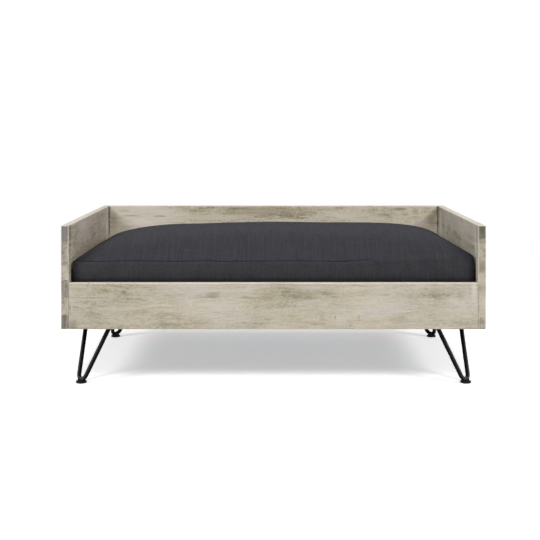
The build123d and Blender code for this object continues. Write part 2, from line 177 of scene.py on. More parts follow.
class NodeNet:
    """Short ways to add and join nodes in one shader tree. Sockets and plain values are passed alike."""

    def __init__(self, tree):
        self.tree = tree

    def add(self, kind, **settings):
        node = self.tree.nodes.new(kind)
        for name, value in settings.items():
            setattr(node, name, value)
        return node

    def feed(self, socket, value):
        if isinstance(value, bpy.types.NodeSocket):
            self.tree.links.new(value, socket)
        else:
            socket.default_value = value

    def math(self, operation, first, second=0.0, clamp=False):
        node = self.add("ShaderNodeMath", operation=operation, use_clamp=clamp)
        self.feed(node.inputs[0], first)
        self.feed(node.inputs[1], second)
        return node.outputs[0]

    def times(self, first, second, clamp=False):
        return self.math("MULTIPLY", first, second, clamp)

    def plus(self, first, second, clamp=False):
        return self.math("ADD", first, second, clamp)

    def minus(self, first, second, clamp=False):
        return self.math("SUBTRACT", first, second, clamp)

    def vector(self, operation, first, second=(0, 0, 0)):
        node = self.add("ShaderNodeVectorMath", operation=operation)
        self.feed(node.inputs[0], first)
        self.feed(node.inputs[1], second)
        return node.outputs["Value" if operation == "LENGTH" else "Vector"]

    def ramp(self, value, low, high, to_low=0.0, to_high=1.0):
        """A smooth step from one value to another."""
        node = self.add("ShaderNodeMapRange", interpolation_type="SMOOTHSTEP")
        for socket, number in zip(node.inputs, (value, low, high, to_low, to_high)):
            self.feed(socket, number)
        return node.outputs[0]

    def noise(self, vector, scale, offset=0.0, detail=2.0, roughness=0.5):
        """Noise whose cells have their own density along each axis, in cells per metre."""
        start = (offset, offset * 1.7, offset * 2.3)
        place = self.fill(self.add("ShaderNodeMapping"), Vector=vector, Scale=scale, Location=start)
        noise = self.add("ShaderNodeTexNoise")
        return self.fill(noise, Vector=place[0], Scale=1.0, Detail=detail, Roughness=roughness)["Fac"]

    def tinted(self, first, second):
        return self.mix(1.0, first, second, "MULTIPLY")

    def mix(self, factor, first, second, blend="MIX"):
        node = self.add("ShaderNodeMix", data_type="RGBA", blend_type=blend)
        self.feed(node.inputs[0], factor)
        self.feed(node.inputs[6], first)
        self.feed(node.inputs[7], second)
        return node.outputs[2]

    def split(self, vector):
        node = self.add("ShaderNodeSeparateXYZ")
        self.feed(node.inputs[0], vector)
        return node.outputs

    def join(self, x, y, z):
        node = self.add("ShaderNodeCombineXYZ")
        for socket, value in zip(node.inputs, (x, y, z)):
            self.feed(socket, value)
        return node.outputs[0]

    def fill(self, node, **inputs):
        """Feeds a node's inputs by their names."""
        for name, value in inputs.items():
            self.feed(node.inputs[name.replace("_", " ")], value)
        return node.outputs

    def group(self, tree, **inputs):
        return self.fill(self.add("ShaderNodeGroup", node_tree=tree), **inputs)

    def seen(self):
        """1 for what the camera sees, straight, in a mirror or through glass, and 0 for light."""
        path = self.add("ShaderNodeLightPath").outputs
        straight = self.math("MAXIMUM", path["Is Camera Ray"], path["Is Glossy Ray"])
        return self.math("MAXIMUM", straight, path["Is Transmission Ray"])


def colour(rgb):
    """A colour with its alpha."""
    return (rgb[0], rgb[1], rgb[2], 1.0)


SOCKETS = {"value": "NodeSocketFloat", "colour": "NodeSocketColor", "vector": "NodeSocketVector"}


def node_group(name, inputs, outputs):
    """Turns a function that wires a node group into one that returns the group, which is built once.

    The function takes the net and what comes in, and returns what goes out, by name."""

    def wrap(wire):
        @functools.wraps(wire)
        def find():
            tree = bpy.data.node_groups.get(name)
            if tree is None:
                tree = bpy.data.node_groups.new(name, "ShaderNodeTree")
                for side, sockets in (("INPUT", inputs), ("OUTPUT", outputs)):
                    for socket, kind in sockets.items():
                        tree.interface.new_socket(socket, in_out=side, socket_type=SOCKETS[kind])
                net = NodeNet(tree)
                taken = net.add("NodeGroupInput").outputs
                net.fill(net.add("NodeGroupOutput"), **wire(net, taken))
            return tree
        return find
    return wrap


# Tints of the wash, which turns from one to the other over a board
BLUER = (0.985, 1.0, 1.045)
YELLOWER = (1.012, 1.0, 0.945)


@node_group(
    "Washed Grain",
    {"Vector": "vector", "Dark": "colour", "Mid": "colour", "Pale": "colour", "Stain": "colour",
    "Contrast": "value", "Clouds": "value", "Smears": "value", "Lift": "value"},
    {"Color": "colour", "Roughness": "value", "Height": "value"})
def grain_group(net, take):
    """Washed wood on coordinates whose X runs along the grain.

    The tone is a sum of noises that are stretched along the grain, from fine fibres to broad bands, with
    rounder blotches and clouds where the wash is thick or thin. It runs through three colours, and a
    slower noise turns them a little blue or a little yellow. Pores are the thin dark peaks of the finest
    noise, and smears are the rare peaks of short broad streaks."""
    sway = net.noise(take["Vector"], (4, 11, 11), 4.0)
    sway = net.times(net.minus(sway, 0.5), 0.022)
    vector = net.vector("ADD", take["Vector"], net.join(0.0, sway, sway))
    fibre = net.noise(vector, (22, 320, 320), 1.0, 4.0, 0.65)
    streak = net.noise(vector, (9, 120, 120), 7.0, 4.0, 0.6)
    band = net.noise(vector, (4, 34, 34), 13.0, 3.0, 0.55)
    speckle = net.noise(vector, (150, 240, 240), 23.0, 3.0, 0.6)
    cloud = net.noise(vector, (6, 11, 11), 19.0, 5.0, 0.62)
    blotch = net.noise(vector, (19, 27, 27), 53.0, 3.0, 0.6)
    tone = net.times(net.minus(cloud, 0.5), take["Clouds"])
    tone = net.plus(tone, take["Lift"])
    for part, share in ((fibre, 0.9), (streak, 0.65), (band, 0.8), (speckle, 0.95), (blotch, 0.5)):
        step = net.times(net.minus(part, 0.5), share)
        tone = net.plus(tone, step)
    tone = net.plus(net.times(tone, take["Contrast"]), 0.5, clamp=True)
    wood = net.mix(net.times(tone, 2.0, clamp=True), take["Dark"], take["Mid"])
    lighter = net.minus(net.times(tone, 2.0), 1.0, clamp=True)
    wood = net.mix(lighter, wood, take["Pale"])
    hue = net.ramp(net.noise(vector, (9, 22, 22), 47.0, 3.0, 0.6), 0.3, 0.7)
    hue = net.mix(hue, colour(BLUER), colour(YELLOWER))
    wood = net.tinted(wood, hue)
    pores = net.ramp(net.noise(vector, (30, 560, 560), 31.0, 1.0), 0.58, 0.76)
    smears = net.ramp(net.noise(vector, (11, 70, 70), 37.0, 3.0, 0.6), 0.56, 0.74)
    patches = net.ramp(net.noise(vector, (4, 9, 9), 41.0), 0.44, 0.62)
    smears = net.times(net.times(smears, patches), take["Smears"])
    wood = net.mix(net.times(pores, 0.25), wood, take["Stain"])
    wood = net.mix(smears, wood, take["Stain"])
    rough = net.plus(net.times(fibre, 0.2), 0.52)
    height = net.minus(net.plus(fibre, streak), net.times(pores, 0.8))
    return {"Color": wood, "Roughness": rough, "Height": height}


@node_group(
    "Edge Wear", {"Vector": "vector", "Low": "vector", "High": "vector", "Width": "value"},
    {"Mask": "value"})
def edge_group(net, take):
    """Wear along a board's edges: 1 on an edge, 0 at about the width from it.

    A point on a box has a distance to the nearest face across each axis. The middle one of the three is
    its distance to the nearest edge."""
    from_low = net.vector("SUBTRACT", take["Vector"], take["Low"])
    from_high = net.vector("SUBTRACT", take["High"], take["Vector"])
    x, y, z = net.split(net.vector("MINIMUM", from_low, from_high))
    nearest = net.math("MINIMUM", x, y)
    middle = net.math("MAXIMUM", nearest, net.math("MINIMUM", net.math("MAXIMUM", x, y), z))
    ragged = net.noise(take["Vector"], (45, 45, 45), 3.0, 3.0)
    width = net.times(take["Width"], net.times(ragged, 2.0))
    return {"Mask": net.ramp(middle, width, 0.0)}


@node_group(
    "Wood Mark", {"Vector": "vector", "Centre": "vector", "Reach": "vector"}, {"Mask": "value"})
def mark_group(net, take):
    """One mark on a board: up to 1 at its centre, falling to 0 over an ellipse. The grain makes its rim
    ragged and shows through it."""
    away = net.vector("SUBTRACT", take["Vector"], take["Centre"])
    length = net.vector("LENGTH", net.vector("DIVIDE", away, take["Reach"]))
    ragged = net.noise(take["Vector"], (28, 170, 170), 3.0, 3.0)
    length = net.plus(length, net.times(net.minus(ragged, 0.5), 1.1))
    fibre = net.ramp(net.noise(take["Vector"], (20, 300, 300), 11.0, 3.0, 0.6), 0.3, 0.7, 0.6, 1.0)
    return {"Mask": net.times(net.ramp(length, 1.0, 0.15), fibre)}


@node_group(
    "Plain Weave", {"Vector": "vector"},
    {"Height": "value", "Warp": "value", "Slub": "value", "Fleck": "value"})
def weave_group(net, take):
    """Plain weave on coordinates counted in threads.

    Each thread's cross-section is a half round. Along its length it rises and dips as a sine, and
    its neighbour does the opposite. The higher of the two threads shows. Slubs are noise stretched
    along each set of threads, and flecks are round noise a few threads wide."""
    u, v, _ = net.split(take["Vector"])

    def thread(across, along, turn):
        place = net.times(net.math("FRACT", across), math.pi)
        bulge = net.math("SINE", place)
        phase = net.plus(net.math("FLOOR", across), net.plus(along, turn))
        wave = net.math("SINE", net.times(phase, math.pi))
        return net.plus(bulge, net.times(wave, 0.5))

    warp = thread(u, v, 0.0)
    weft = thread(v, u, 1.0)
    long_slub = net.noise(take["Vector"], (0.55, 0.018, 0), 5.0, 2.0)
    cross_slub = net.noise(take["Vector"], (0.018, 0.6, 0), 9.0, 2.0)
    return {
        "Height": net.math("MAXIMUM", warp, weft),
        "Warp": net.math("GREATER_THAN", warp, weft),
        "Slub": net.plus(long_slub, net.times(cross_slub, 0.6)),
        "Fleck": net.noise(take["Vector"], (0.5, 0.42, 0), 15.0, 3.0, 0.65)}


@node_group(
    "Fine Speckle", {"Vector": "vector"}, {"Cloud": "value", "Height": "value"})
def speckle_group(net, take):
    """Fine unevenness of coats, moulded parts and rubbed metal: a value round 0.5 and a height."""
    return {
        "Cloud": net.noise(take["Vector"], (45, 45, 45), 2.0, 4.0, 0.6),
        "Height": net.noise(take["Vector"], (1500, 1500, 1500), 6.0, 1.0)}


def new_material(name):
    """A material with its net, its shader and its coordinates."""
    material = bpy.data.materials.new(name)
    material.use_nodes = True
    net = NodeNet(material.node_tree)
    shader = material.node_tree.nodes["Principled BSDF"]
    place = net.add("ShaderNodeTexCoord").outputs
    return material, net, shader, place


def bump(net, shader, height, distance):
    """Feeds a height to the shader's normal."""
    node = net.add("ShaderNodeBump")
    net.fill(shader, Normal=net.fill(node, Height=height, Distance=distance)[0])


# Marks on the boards, a few of which are painted shadow and painted shade, as noted: place along the board
# and height, reach both ways, strength and colour
RAIL_MARKS = (
    (-0.317, 0.2005, 0.007, 0.004, 0.75, "stain"),
    (-0.128, 0.194, 0.022, 0.008, 0.55, "stain"),
    (-0.140, 0.190, 0.034, 0.003, 0.45, "stain"),
    (-0.057, 0.190, 0.018, 0.003, 0.45, "stain"),
    (-0.013, 0.193, 0.014, 0.016, 0.45, "dark"),
    (0.062, 0.193, 0.026, 0.013, 0.70, "dark"),
    (0.112, 0.198, 0.008, 0.005, 0.50, "dark"),
    (0.094, 0.134, 0.030, 0.004, 0.40, "stain"),
    (0.103, 0.146, 0.010, 0.018, 0.45, "dark"),
    (-0.375, 0.189, 0.030, 0.003, 0.40, "stain"),
    (-0.419, 0.169, 0.013, 0.003, 0.50, "stain"),
    (-0.432, 0.168, 0.003, 0.010, 0.55, "stain"),
    (-0.425, 0.134, 0.016, 0.016, 0.85, "dark"),
    (-0.224, 0.193, 0.018, 0.002, 0.50, "stain"),
    (-0.277, 0.160, 0.018, 0.008, 0.45, "dark"),
    (-0.236, 0.134, 0.012, 0.007, 0.45, "dark"),
    (0.131, 0.148, 0.0025, 0.006, 0.65, "stain"),
    (0.181, 0.147, 0.0025, 0.006, 0.65, "stain"),
    (0.163, 0.129, 0.003, 0.004, 0.55, "stain"),
    (0.240, 0.195, 0.012, 0.003, 0.45, "stain"),
    (0.291, 0.192, 0.012, 0.008, 0.40, "dark"),
    (0.345, 0.190, 0.022, 0.0025, 0.40, "stain"),
    (0.397, 0.194, 0.012, 0.016, 0.50, "dark"),
    (0.268, 0.142, 0.034, 0.018, 0.35, "dark"),
    (0.000, 0.196, 0.400, 0.010, 0.22, "dark"),
    (-0.342, 0.158, 0.044, 0.026, 0.55, "pale"),
    (-0.020, 0.158, 0.070, 0.014, 0.40, "pale"),
    (0.212, 0.174, 0.070, 0.010, 0.40, "pale"),
    (0.149, 0.138, 0.016, 0.008, 0.55, "pale"),
    (0.426, 0.204, 0.009, 0.028, 0.85, "bleached"),
    (-0.405, 0.130, 0.014, 0.006, 0.50, "pale"),
    # Painted shade along the rail's lower edge, at both ends
    (-0.420, 0.122, 0.050, 0.005, 0.60, "stain"),
    (0.410, 0.122, 0.090, 0.004, 0.60, "stain"),
)
BACK_MARKS = (
    (-0.330, 0.318, 0.150, 0.060, 0.95, "bleached"),
    (-0.345, 0.300, 0.060, 0.016, 0.95, "bleached"),
    (0.180, 0.322, 0.080, 0.022, 0.60, "bleached"),
    (-0.046, 0.329, 0.120, 0.026, 0.80, "brown"),
    (0.060, 0.326, 0.060, 0.014, 0.65, "brown"),
    (-0.095, 0.335, 0.040, 0.003, 0.55, "stain"),
    (0.020, 0.318, 0.050, 0.003, 0.45, "stain"),
    (0.064, 0.325, 0.010, 0.004, 0.60, "pale"),
    (0.332, 0.333, 0.032, 0.007, 1.00, "brown"),
    (0.338, 0.333, 0.020, 0.004, 0.50, "stain"),
    (0.290, 0.319, 0.030, 0.006, 0.90, "brown"),
    (0.300, 0.317, 0.018, 0.003, 0.50, "stain"),
    (0.348, 0.319, 0.012, 0.007, 0.80, "brown"),
    (0.375, 0.329, 0.013, 0.013, 0.85, "brown"),
    (0.404, 0.334, 0.022, 0.006, 0.75, "brown"),
    # Painted shadow of the right side panel on the back panel, by its corner
    (0.418, 0.304, 0.020, 0.030, 1.00, "brown"),
    (0.428, 0.322, 0.011, 0.020, 0.80, "brown"),
    (-0.376, 0.316, 0.030, 0.0035, 0.60, "stain"),
    (-0.301, 0.3145, 0.026, 0.0032, 0.50, "stain"),
    (-0.395, 0.329, 0.022, 0.005, 0.50, "brown"),
    # Painted shadow of the left side panel on the back panel, by its corner
    (-0.424, 0.300, 0.018, 0.034, 0.60, "grey"),
)
LEFT_MARKS = (
    # Painted shade low on the left panel's inner face, along the cushion
    (-0.020, 0.252, 0.330, 0.056, 1.00, "brown"),
    (0.240, 0.300, 0.018, 0.140, 1.00, "bleached"),
    (-0.215, 0.296, 0.050, 0.018, 0.35, "grey"),
    (-0.240, 0.256, 0.040, 0.014, 0.25, "bleached"),
    (-0.130, 0.272, 0.050, 0.016, 0.55, "brown"),
    (0.020, 0.295, 0.070, 0.024, 0.65, "grey"),
    (0.040, 0.290, 0.030, 0.007, 0.55, "stain"),
    (-0.105, 0.326, 0.090, 0.022, 0.95, "bleached"),
    (0.115, 0.305, 0.060, 0.040, 0.50, "grey"),
    (0.180, 0.326, 0.040, 0.010, 0.75, "brown"),
    (0.170, 0.285, 0.040, 0.016, 0.50, "grey"),
    (0.200, 0.290, 0.036, 0.016, 0.60, "brown"),
    (-0.228, 0.340, 0.050, 0.008, 0.80, "bleached"),
    (-0.230, 0.322, 0.036, 0.016, 0.60, "bleached"),
)
RIGHT_MARKS = (
    # Painted shade low on the right panel's inner face, along the cushion
    (-0.020, 0.250, 0.320, 0.050, 0.60, "brown"),
    (0.220, 0.300, 0.010, 0.120, 0.55, "bleached"),
    (0.185, 0.300, 0.036, 0.040, 0.55, "grey"),
    (0.090, 0.300, 0.035, 0.016, 0.60, "grey"),
    (0.120, 0.286, 0.040, 0.006, 0.45, "stain"),
    (0.100, 0.326, 0.070, 0.014, 0.50, "bleached"),
    (0.020, 0.272, 0.050, 0.012, 0.50, "brown"),
    (-0.110, 0.326, 0.120, 0.028, 1.00, "bleached"),
    (-0.170, 0.285, 0.050, 0.014, 0.45, "grey"),
    (-0.060, 0.343, 0.030, 0.006, 0.55, "stain"),
    (-0.140, 0.343, 0.016, 0.005, 0.50, "stain"),
    (-0.262, 0.290, 0.026, 0.070, 0.80, "bleached"),
    (-0.010, 0.294, 0.080, 0.014, 0.60, "grey"),
    (-0.010, 0.341, 0.300, 0.007, 0.90, "bleached"),
    (-0.274, 0.327, 0.010, 0.012, 0.50, "brown"),
    (-0.088, 0.335, 0.030, 0.006, 0.60, "brown"),
    (-0.289, 0.209, 0.030, 0.012, 0.45, "grey"),
    (-0.289, 0.254, 0.006, 0.020, 1.00, "brown"),
    (-0.288, 0.137, 0.010, 0.008, 0.35, "stain"),
    (-0.289, 0.122, 0.030, 0.004, 0.60, "stain"),
)

# Lines of painted shade in the inner corners and near the sides' front edges: place along the board, reach
# and strength, and how far they go down from the board's top and into it
BACK_CORNER_SHADE = ((-0.437, 0.008, 0.95), (0.437, 0.008, 0.95))
LEFT_CORNER_SHADE = ((0.273, 0.020, 0.95), (-0.272, 0.020, 0.80))
RIGHT_CORNER_SHADE = ((0.273, 0.036, 0.95), (-0.272, 0.014, 0.40))
CORNER_SHADE_DROP = 0.140
CORNER_SHADE_DEPTH = 0.008

# Staves of the glued boards: height of each stave's top above the board's foot, as a share of the board's
# height, and the stave's tone
LEFT_STAVES = ((0.138, 0.50), (0.297, 0.93), (0.471, 0.64), (0.611, 1.05), (0.649, 0.74), (0.813, 0.86),
               (0.842, 0.66), (1.0, 0.42))
RIGHT_STAVES = ((0.109, 0.93), (0.225, 0.95), (0.456, 0.99), (0.562, 0.93), (0.688, 0.84), (0.780, 0.88),
                (0.825, 0.80), (0.870, 0.66), (1.0, 0.43))
BACK_STAVES = ((0.22, 0.96), (0.45, 1.04), (0.62, 0.94), (0.83, 1.03), (1.0, 0.97))

# Contrast of the grain on outer faces, width and strength of the wear along edges, strength of the painted
# light that makes upper faces paler, and a reach that is past any board
OUTER_CONTRAST = 1.4
WORN_WIDTH = 0.0024
WORN_STRENGTH = 0.8
UPPER_PAINTED_LIGHT = 0.55
FAR = 10.0

# Where the rail is glued to a side: how softly that ends, and where it ends on the side's inner face
GLUE_FADE = 0.002
GLUE_DEPTH = (0.008, 0.005)

# Each board: its grain's direction and seed, what lies on it, its grain's contrast and paleness, and the
# tints of its faces and of its ends
BOARDS = {
    "front_rail": {
        "along": "X", "seed": 3.1, "marks": RAIL_MARKS, "staves": (), "corner_shade": (), "contrast": 1.15,
        "lift": 0.08, "tint": (1.0, 1.0, 1.0), "end_tint": (1.0, 1.0, 1.0)},
    "back_panel": {
        "along": "X", "seed": 11.7, "marks": BACK_MARKS, "staves": BACK_STAVES, "corner_shade": BACK_CORNER_SHADE,
        "contrast": 2.3, "lift": 0.17, "tint": (1.02, 1.01, 0.965), "end_tint": (1.0, 1.0, 1.0)},
    "left_side_panel": {
        "along": "Y", "seed": 23.9, "marks": LEFT_MARKS, "staves": LEFT_STAVES, "corner_shade": LEFT_CORNER_SHADE,
        "contrast": 2.6, "lift": 0.14, "tint": (1.03, 1.0, 0.99), "end_tint": (1.0, 1.0, 1.0)},
    "right_side_panel": {
        "along": "Y", "seed": 31.3, "marks": RIGHT_MARKS, "staves": RIGHT_STAVES, "corner_shade": RIGHT_CORNER_SHADE,
        "contrast": 2.6, "lift": 0.24, "tint": (1.0, 1.0, 0.98), "end_tint": (1.03, 1.03, 0.975)},
}


def seeded(net, vector, seed):
    """Moves coordinates to a part of the grain of their own."""
    return net.vector("ADD", vector, (seed, seed * 0.37, seed * 0.61))


def stave_tone(net, height, low, high, staves, ragged):
    """A tone for each stave, constant over its height, with a ragged line between staves."""
    share = net.math("DIVIDE", net.minus(height, low), high - low)
    share = net.plus(share, net.times(net.minus(ragged, 0.5), 0.05))
    node = net.add("ShaderNodeValToRGB")
    node.color_ramp.interpolation = "CONSTANT"
    stops = node.color_ramp.elements
    while len(stops) < len(staves):
        stops.new(1.0)
    bottom = 0.0
    for stop, (top, tone) in zip(stops, staves):
        stop.position = bottom
        stop.color = (tone / 2, tone / 2, tone / 2, 1.0)
        bottom = top
    net.feed(node.inputs[0], share)
    return net.times(node.outputs[0], 2.0)


def washed_wood(node, finish, along, seed, marks, staves, corner_shade, contrast, lift, tint, end_tint):
    """Grey-washed wood for one board.

    Its grain runs along the board. It has marks, a few of them painted shadow and shade, glued staves, end
    grain on its ends and painted shade in the corners of its inner face. The wash is thicker along its
    edges, but not at its foot or where another board is glued to it, and its upper face is painted paler as
    painted light from above."""
    low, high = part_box(node)
    material, net, shader, place = new_material(f"washed {node}")
    x, y, z = net.split(place["Object"])
    lengthwise, through = (x, y) if along == "X" else (y, x)
    through_axis = "y" if along == "X" else "x"
    board = net.join(lengthwise, z, through)
    inks = {name.title(): colour(getattr(finish, name)) for name in ("pale", "mid", "dark", "stain")}
    facing = net.split(place["Normal"])
    inner = low if abs(getattr(low, through_axis)) < abs(getattr(high, through_axis)) else high
    shifted = seeded(net, board, seed)
    if staves:
        inward = net.times(facing[through_axis.upper()], 1.0 if inner == high else -1.0)
        contrast = net.ramp(inward, -0.6, 0.0, OUTER_CONTRAST, contrast)
        ragged = net.noise(place["Object"], (110, 110, 110), seed, 2.0)
        tone = stave_tone(net, z, low.z, high.z, staves, ragged)
        shifted = net.vector("ADD", shifted, net.join(net.times(tone, 3.0), 0.0, 0.0))
    grain = net.group(
        grain_group(), Vector=shifted, Contrast=contrast, Clouds=1.5, Smears=0.2, Lift=lift, **inks)
    wood, shade = grain["Color"], colour(tint)
    if staves:
        end = net.ramp(net.math("ABSOLUTE", facing[along]), 0.55, 0.85)
        upright = net.join(net.plus(net.times(tone, 4.0), z), through, lengthwise)
        end_grain = net.group(
            grain_group(), Vector=upright, Contrast=2.0, Clouds=1.8, Smears=0.4, Lift=0.1, **inks)["Color"]
        wood = net.mix(end, wood, end_grain)
        end_shade = [first * second for first, second in zip(finish.end, end_tint)]
        shade = net.mix(end, shade, colour(end_shade))
    for centre, up, reach, rise, strength, ink in marks:
        mask = net.group(
            mark_group(), Vector=board, Centre=(centre, up, 0.0), Reach=(reach, rise, FAR))["Mask"]
        wood = net.mix(net.times(mask, strength), wood, colour(getattr(finish, ink)))
    # Painted shade in the corners of the inner face
    for centre, reach, strength in corner_shade:
        mask = net.group(
            mark_group(), Vector=board, Centre=(centre, high.z, getattr(inner, through_axis)),
            Reach=(reach, CORNER_SHADE_DROP, CORNER_SHADE_DEPTH))["Mask"]
        wood = net.mix(net.times(mask, strength), wood, inks["Stain"])
    wood = net.tinted(wood, shade)
    if staves:
        share = net.ramp(end, 0.0, 1.0, 0.2, 1.0)
        level = net.plus(net.times(net.minus(tone, 1.0), share), 1.0)
        wood = net.tinted(wood, net.join(level, level, level))
    past = FAR if along == "X" else 0.0
    edge = net.group(
        edge_group(), Vector=place["Object"], Low=(low.x - past, low.y, low.z - FAR),
        High=(high.x + past, high.y, high.z), Width=WORN_WIDTH)["Mask"]
    if along == "Y":
        glued = net.ramp(z, RAIL_HIGH.z + GLUE_FADE, RAIL_HIGH.z - GLUE_FADE)
        glued = net.times(glued, net.ramp(y, RAIL_HIGH.y + 2 * GLUE_FADE, RAIL_HIGH.y))
        from_rail = net.math("ABSOLUTE", net.minus(x, inner.x))
        glued = net.times(glued, net.ramp(from_rail, *GLUE_DEPTH))
        edge = net.times(edge, net.minus(1.0, glued))
    wood = net.mix(net.times(edge, WORN_STRENGTH), wood, colour(finish.bleached))
    # Painted light from above: faces that point up are painted paler
    upper = net.ramp(facing["Z"], 0.6, 0.95, 0.0, UPPER_PAINTED_LIGHT)
    wood = net.mix(upper, wood, inks["Pale"])
    net.fill(shader, Base_Color=wood, Roughness=grain["Roughness"], Specular_IOR_Level=0.3)
    bump(net, shader, grain["Height"], finish.relief)
    return material


PINE_STAIN = (0.20, 0.11, 0.05)


def pine(name, finish, along, seed):
    """Unfinished pine with its grain along X or Y."""
    material, net, shader, place = new_material(name)
    x, y, z = net.split(place["Object"])
    board = net.join(x, y, z) if along == "X" else net.join(y, x, z)
    board = seeded(net, board, seed)
    inks = {name.title(): colour(getattr(finish, name)) for name in ("pale", "mid", "dark")}
    grain = net.group(
        grain_group(), Vector=board, Stain=colour(PINE_STAIN), Contrast=0.9, Clouds=0.6, Smears=0.15,
        Lift=0.0, **inks)
    net.fill(shader, Base_Color=grain["Color"], Roughness=grain["Roughness"])
    bump(net, shader, grain["Height"], 0.0003)
    return material


# How far a coat's roughness strays from its mean, its mean on the legs, and the depth of its texture
GLOSS_RANGE = 0.07
LEG_ROUGHNESS = 0.45
COAT_RELIEF = 0.00004


def gloss(net, speckle, rough):
    """Uneven roughness round a mean."""
    return net.ramp(speckle["Cloud"], 0.2, 0.8, rough - GLOSS_RANGE, rough + GLOSS_RANGE)


def coated(name, rgb, rough, metallic=0.0, relief=COAT_RELIEF, vary=0.25, specular=0.5):
    """Paint, plastic, rubber or metal: one colour that clouds a little, uneven gloss and a fine texture."""
    material, net, shader, place = new_material(name)
    speckle = net.group(speckle_group(), Vector=place["Object"])
    low = colour([c * (1 - vary) for c in rgb])
    high = colour([min(1.0, c * (1 + vary)) for c in rgb])
    net.fill(
        shader, Base_Color=net.mix(speckle["Cloud"], low, high), Roughness=gloss(net, speckle, rough),
        Metallic=metallic, Specular_IOR_Level=specular)
    bump(net, shader, speckle["Height"], relief)
    return material


def powder_coat(finish):
    """Black powder coat, with a painted highlight that makes it greyer on the sides that face away from the
    bed's middle.
    """
    material, net, shader, place = new_material("black powder coat")
    speckle = net.group(speckle_group(), Vector=place["Object"])
    side = net.math("SIGN", net.split(place["Object"])["X"])
    # Painted highlight: the coat turns lighter on the sides that face away from the bed's middle
    outward = net.times(net.split(place["Normal"])["X"], side)
    patchy = net.ramp(speckle["Cloud"], 0.2, 0.8, 0.8, 1.0)
    outward = net.times(net.ramp(outward, -0.15, 0.7), patchy)
    coat = net.mix(outward, colour(finish.coat), colour(finish.painted_highlight))
    rough = gloss(net, speckle, LEG_ROUGHNESS)
    net.fill(shader, Base_Color=coat, Roughness=rough, Specular_IOR_Level=0.04)
    bump(net, shader, speckle["Height"], COAT_RELIEF)
    return material


# Painted shading of the cushion: its level on the panels, painted shade that darkens the top, and on the
# boxing, and the tint of cloth where the painted shading is light
PANEL_PAINTED_SHADING = 0.73
BOXING_PAINTED_SHADING = 0.90
LESS_BLUE = (1.0, 1.0, 0.91)


def cloth(name, warp, weft, thread, relief=0.00035):
    """Woven cloth on the piece's own UV map, which is in metres. The painted light and shade on the piece
    darkens it, and it is less blue where that painted shading is light."""
    material, net, shader, place = new_material(name)
    count = net.vector("DIVIDE", place["UV"], (thread, thread, thread))
    weave = net.group(weave_group(), Vector=count)
    base = net.mix(weave["Warp"], colour(weft), colour(warp))
    # Painted light and shade, read from the cover's points
    nap = net.add("ShaderNodeAttribute", attribute_name="nap").outputs["Fac"]
    slub = net.ramp(weave["Slub"], 0.45, 1.15, -0.20, 0.21)
    slub = net.times(slub, net.ramp(nap, PANEL_PAINTED_SHADING + 0.01, BOXING_PAINTED_SHADING, 1.0, 0.40))
    light = net.times(net.plus(slub, 1.0), nap)
    light = net.times(light, net.ramp(weave["Fleck"], 0.25, 0.75, 0.84, 1.16))
    base = net.tinted(base, net.join(light, light, light))
    lighter = net.ramp(nap, PANEL_PAINTED_SHADING + 0.01, BOXING_PAINTED_SHADING)
    base = net.mix(lighter, base, net.tinted(base, colour(LESS_BLUE)))
    net.fill(shader, Base_Color=base, Roughness=0.9, Specular_IOR_Level=0.15)
    height = net.plus(weave["Height"], net.times(weave["Slub"], 0.8))
    bump(net, shader, height, relief)
    return material


# Meshes


def new_piece(name, points, faces, smooth=True):
    """A mesh object at the origin, with its place in its points."""
    mesh = bpy.data.meshes.new(name)
    mesh.from_pydata(points.tolist(), [], faces.tolist())
    mesh.polygons.foreach_set("use_smooth", np.full(len(mesh.polygons), smooth))
    mesh.update()
    piece = bpy.data.objects.new(name, mesh)
    bpy.context.scene.collection.objects.link(piece)
    return piece


def dress(piece, material, body, slot, *nodes):
    """Gives a new piece its material and its body, and hides the nodes that it stands for; its slot is not
    used.
    """
    piece.data.materials.append(material)
    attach(piece, body)
    if nodes:
        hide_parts(*nodes)
    return piece


def finish_node(node, material):
    """Gives a solid its material."""
    slots = NODES[node].data.materials
    slots.clear()
    slots.append(material)


def grid_faces(rows, columns):
    """Faces of a grid of points that is closed along its columns and open along its rows."""
    row, column = np.meshgrid(np.arange(rows - 1), np.arange(columns), indexing="ij")
    here = row * columns + column
    side = row * columns + (column + 1) % columns
    return np.stack([here, side, side + columns, here + columns], -1).reshape(-1, 4)


def bead(length, width, height, rings=5, sides=8):
    """A small rounded bar along X, with a small opening at each end.

    Its rings stand at the cosines of even angles, and a ring's radius is the fourth root of one minus
    the fourth power of its place along the bar."""
    place = -np.cos(np.linspace(0.12, np.pi - 0.12, rings))
    radius = (1 - place ** 4) ** 0.25
    turn = np.linspace(0, 2 * np.pi, sides, endpoint=False)
    points = np.stack([
        np.repeat(place * length / 2, sides),
        np.outer(radius, np.cos(turn)).ravel() * width / 2,
        np.outer(radius, np.sin(turn)).ravel() * height / 2], -1)
    faces = grid_faces(rings, sides)
    return points, faces


def row(xs, y, z):
    """Places along X at one Y and one Z."""
    return np.stack([xs, np.full_like(xs, y), np.full_like(xs, z)], -1)


def bars(name, points, faces, places):
    """One piece of many copies of a small bar, with its open ends filled and all faces turned outwards."""
    all_points = (places[:, None, :] + points[None]).reshape(-1, 3)
    all_faces = (np.arange(len(places))[:, None, None] * len(points) + faces[None]).reshape(-1, 4)
    piece = new_piece(name, all_points, all_faces)
    work = bmesh.new()
    work.from_mesh(piece.data)
    bmesh.ops.holes_fill(work, edges=[edge for edge in work.edges if edge.is_boundary], sides=0)
    bmesh.ops.recalc_face_normals(work, faces=work.faces)
    work.to_mesh(piece.data)
    work.free()
    return piece


# Cushion

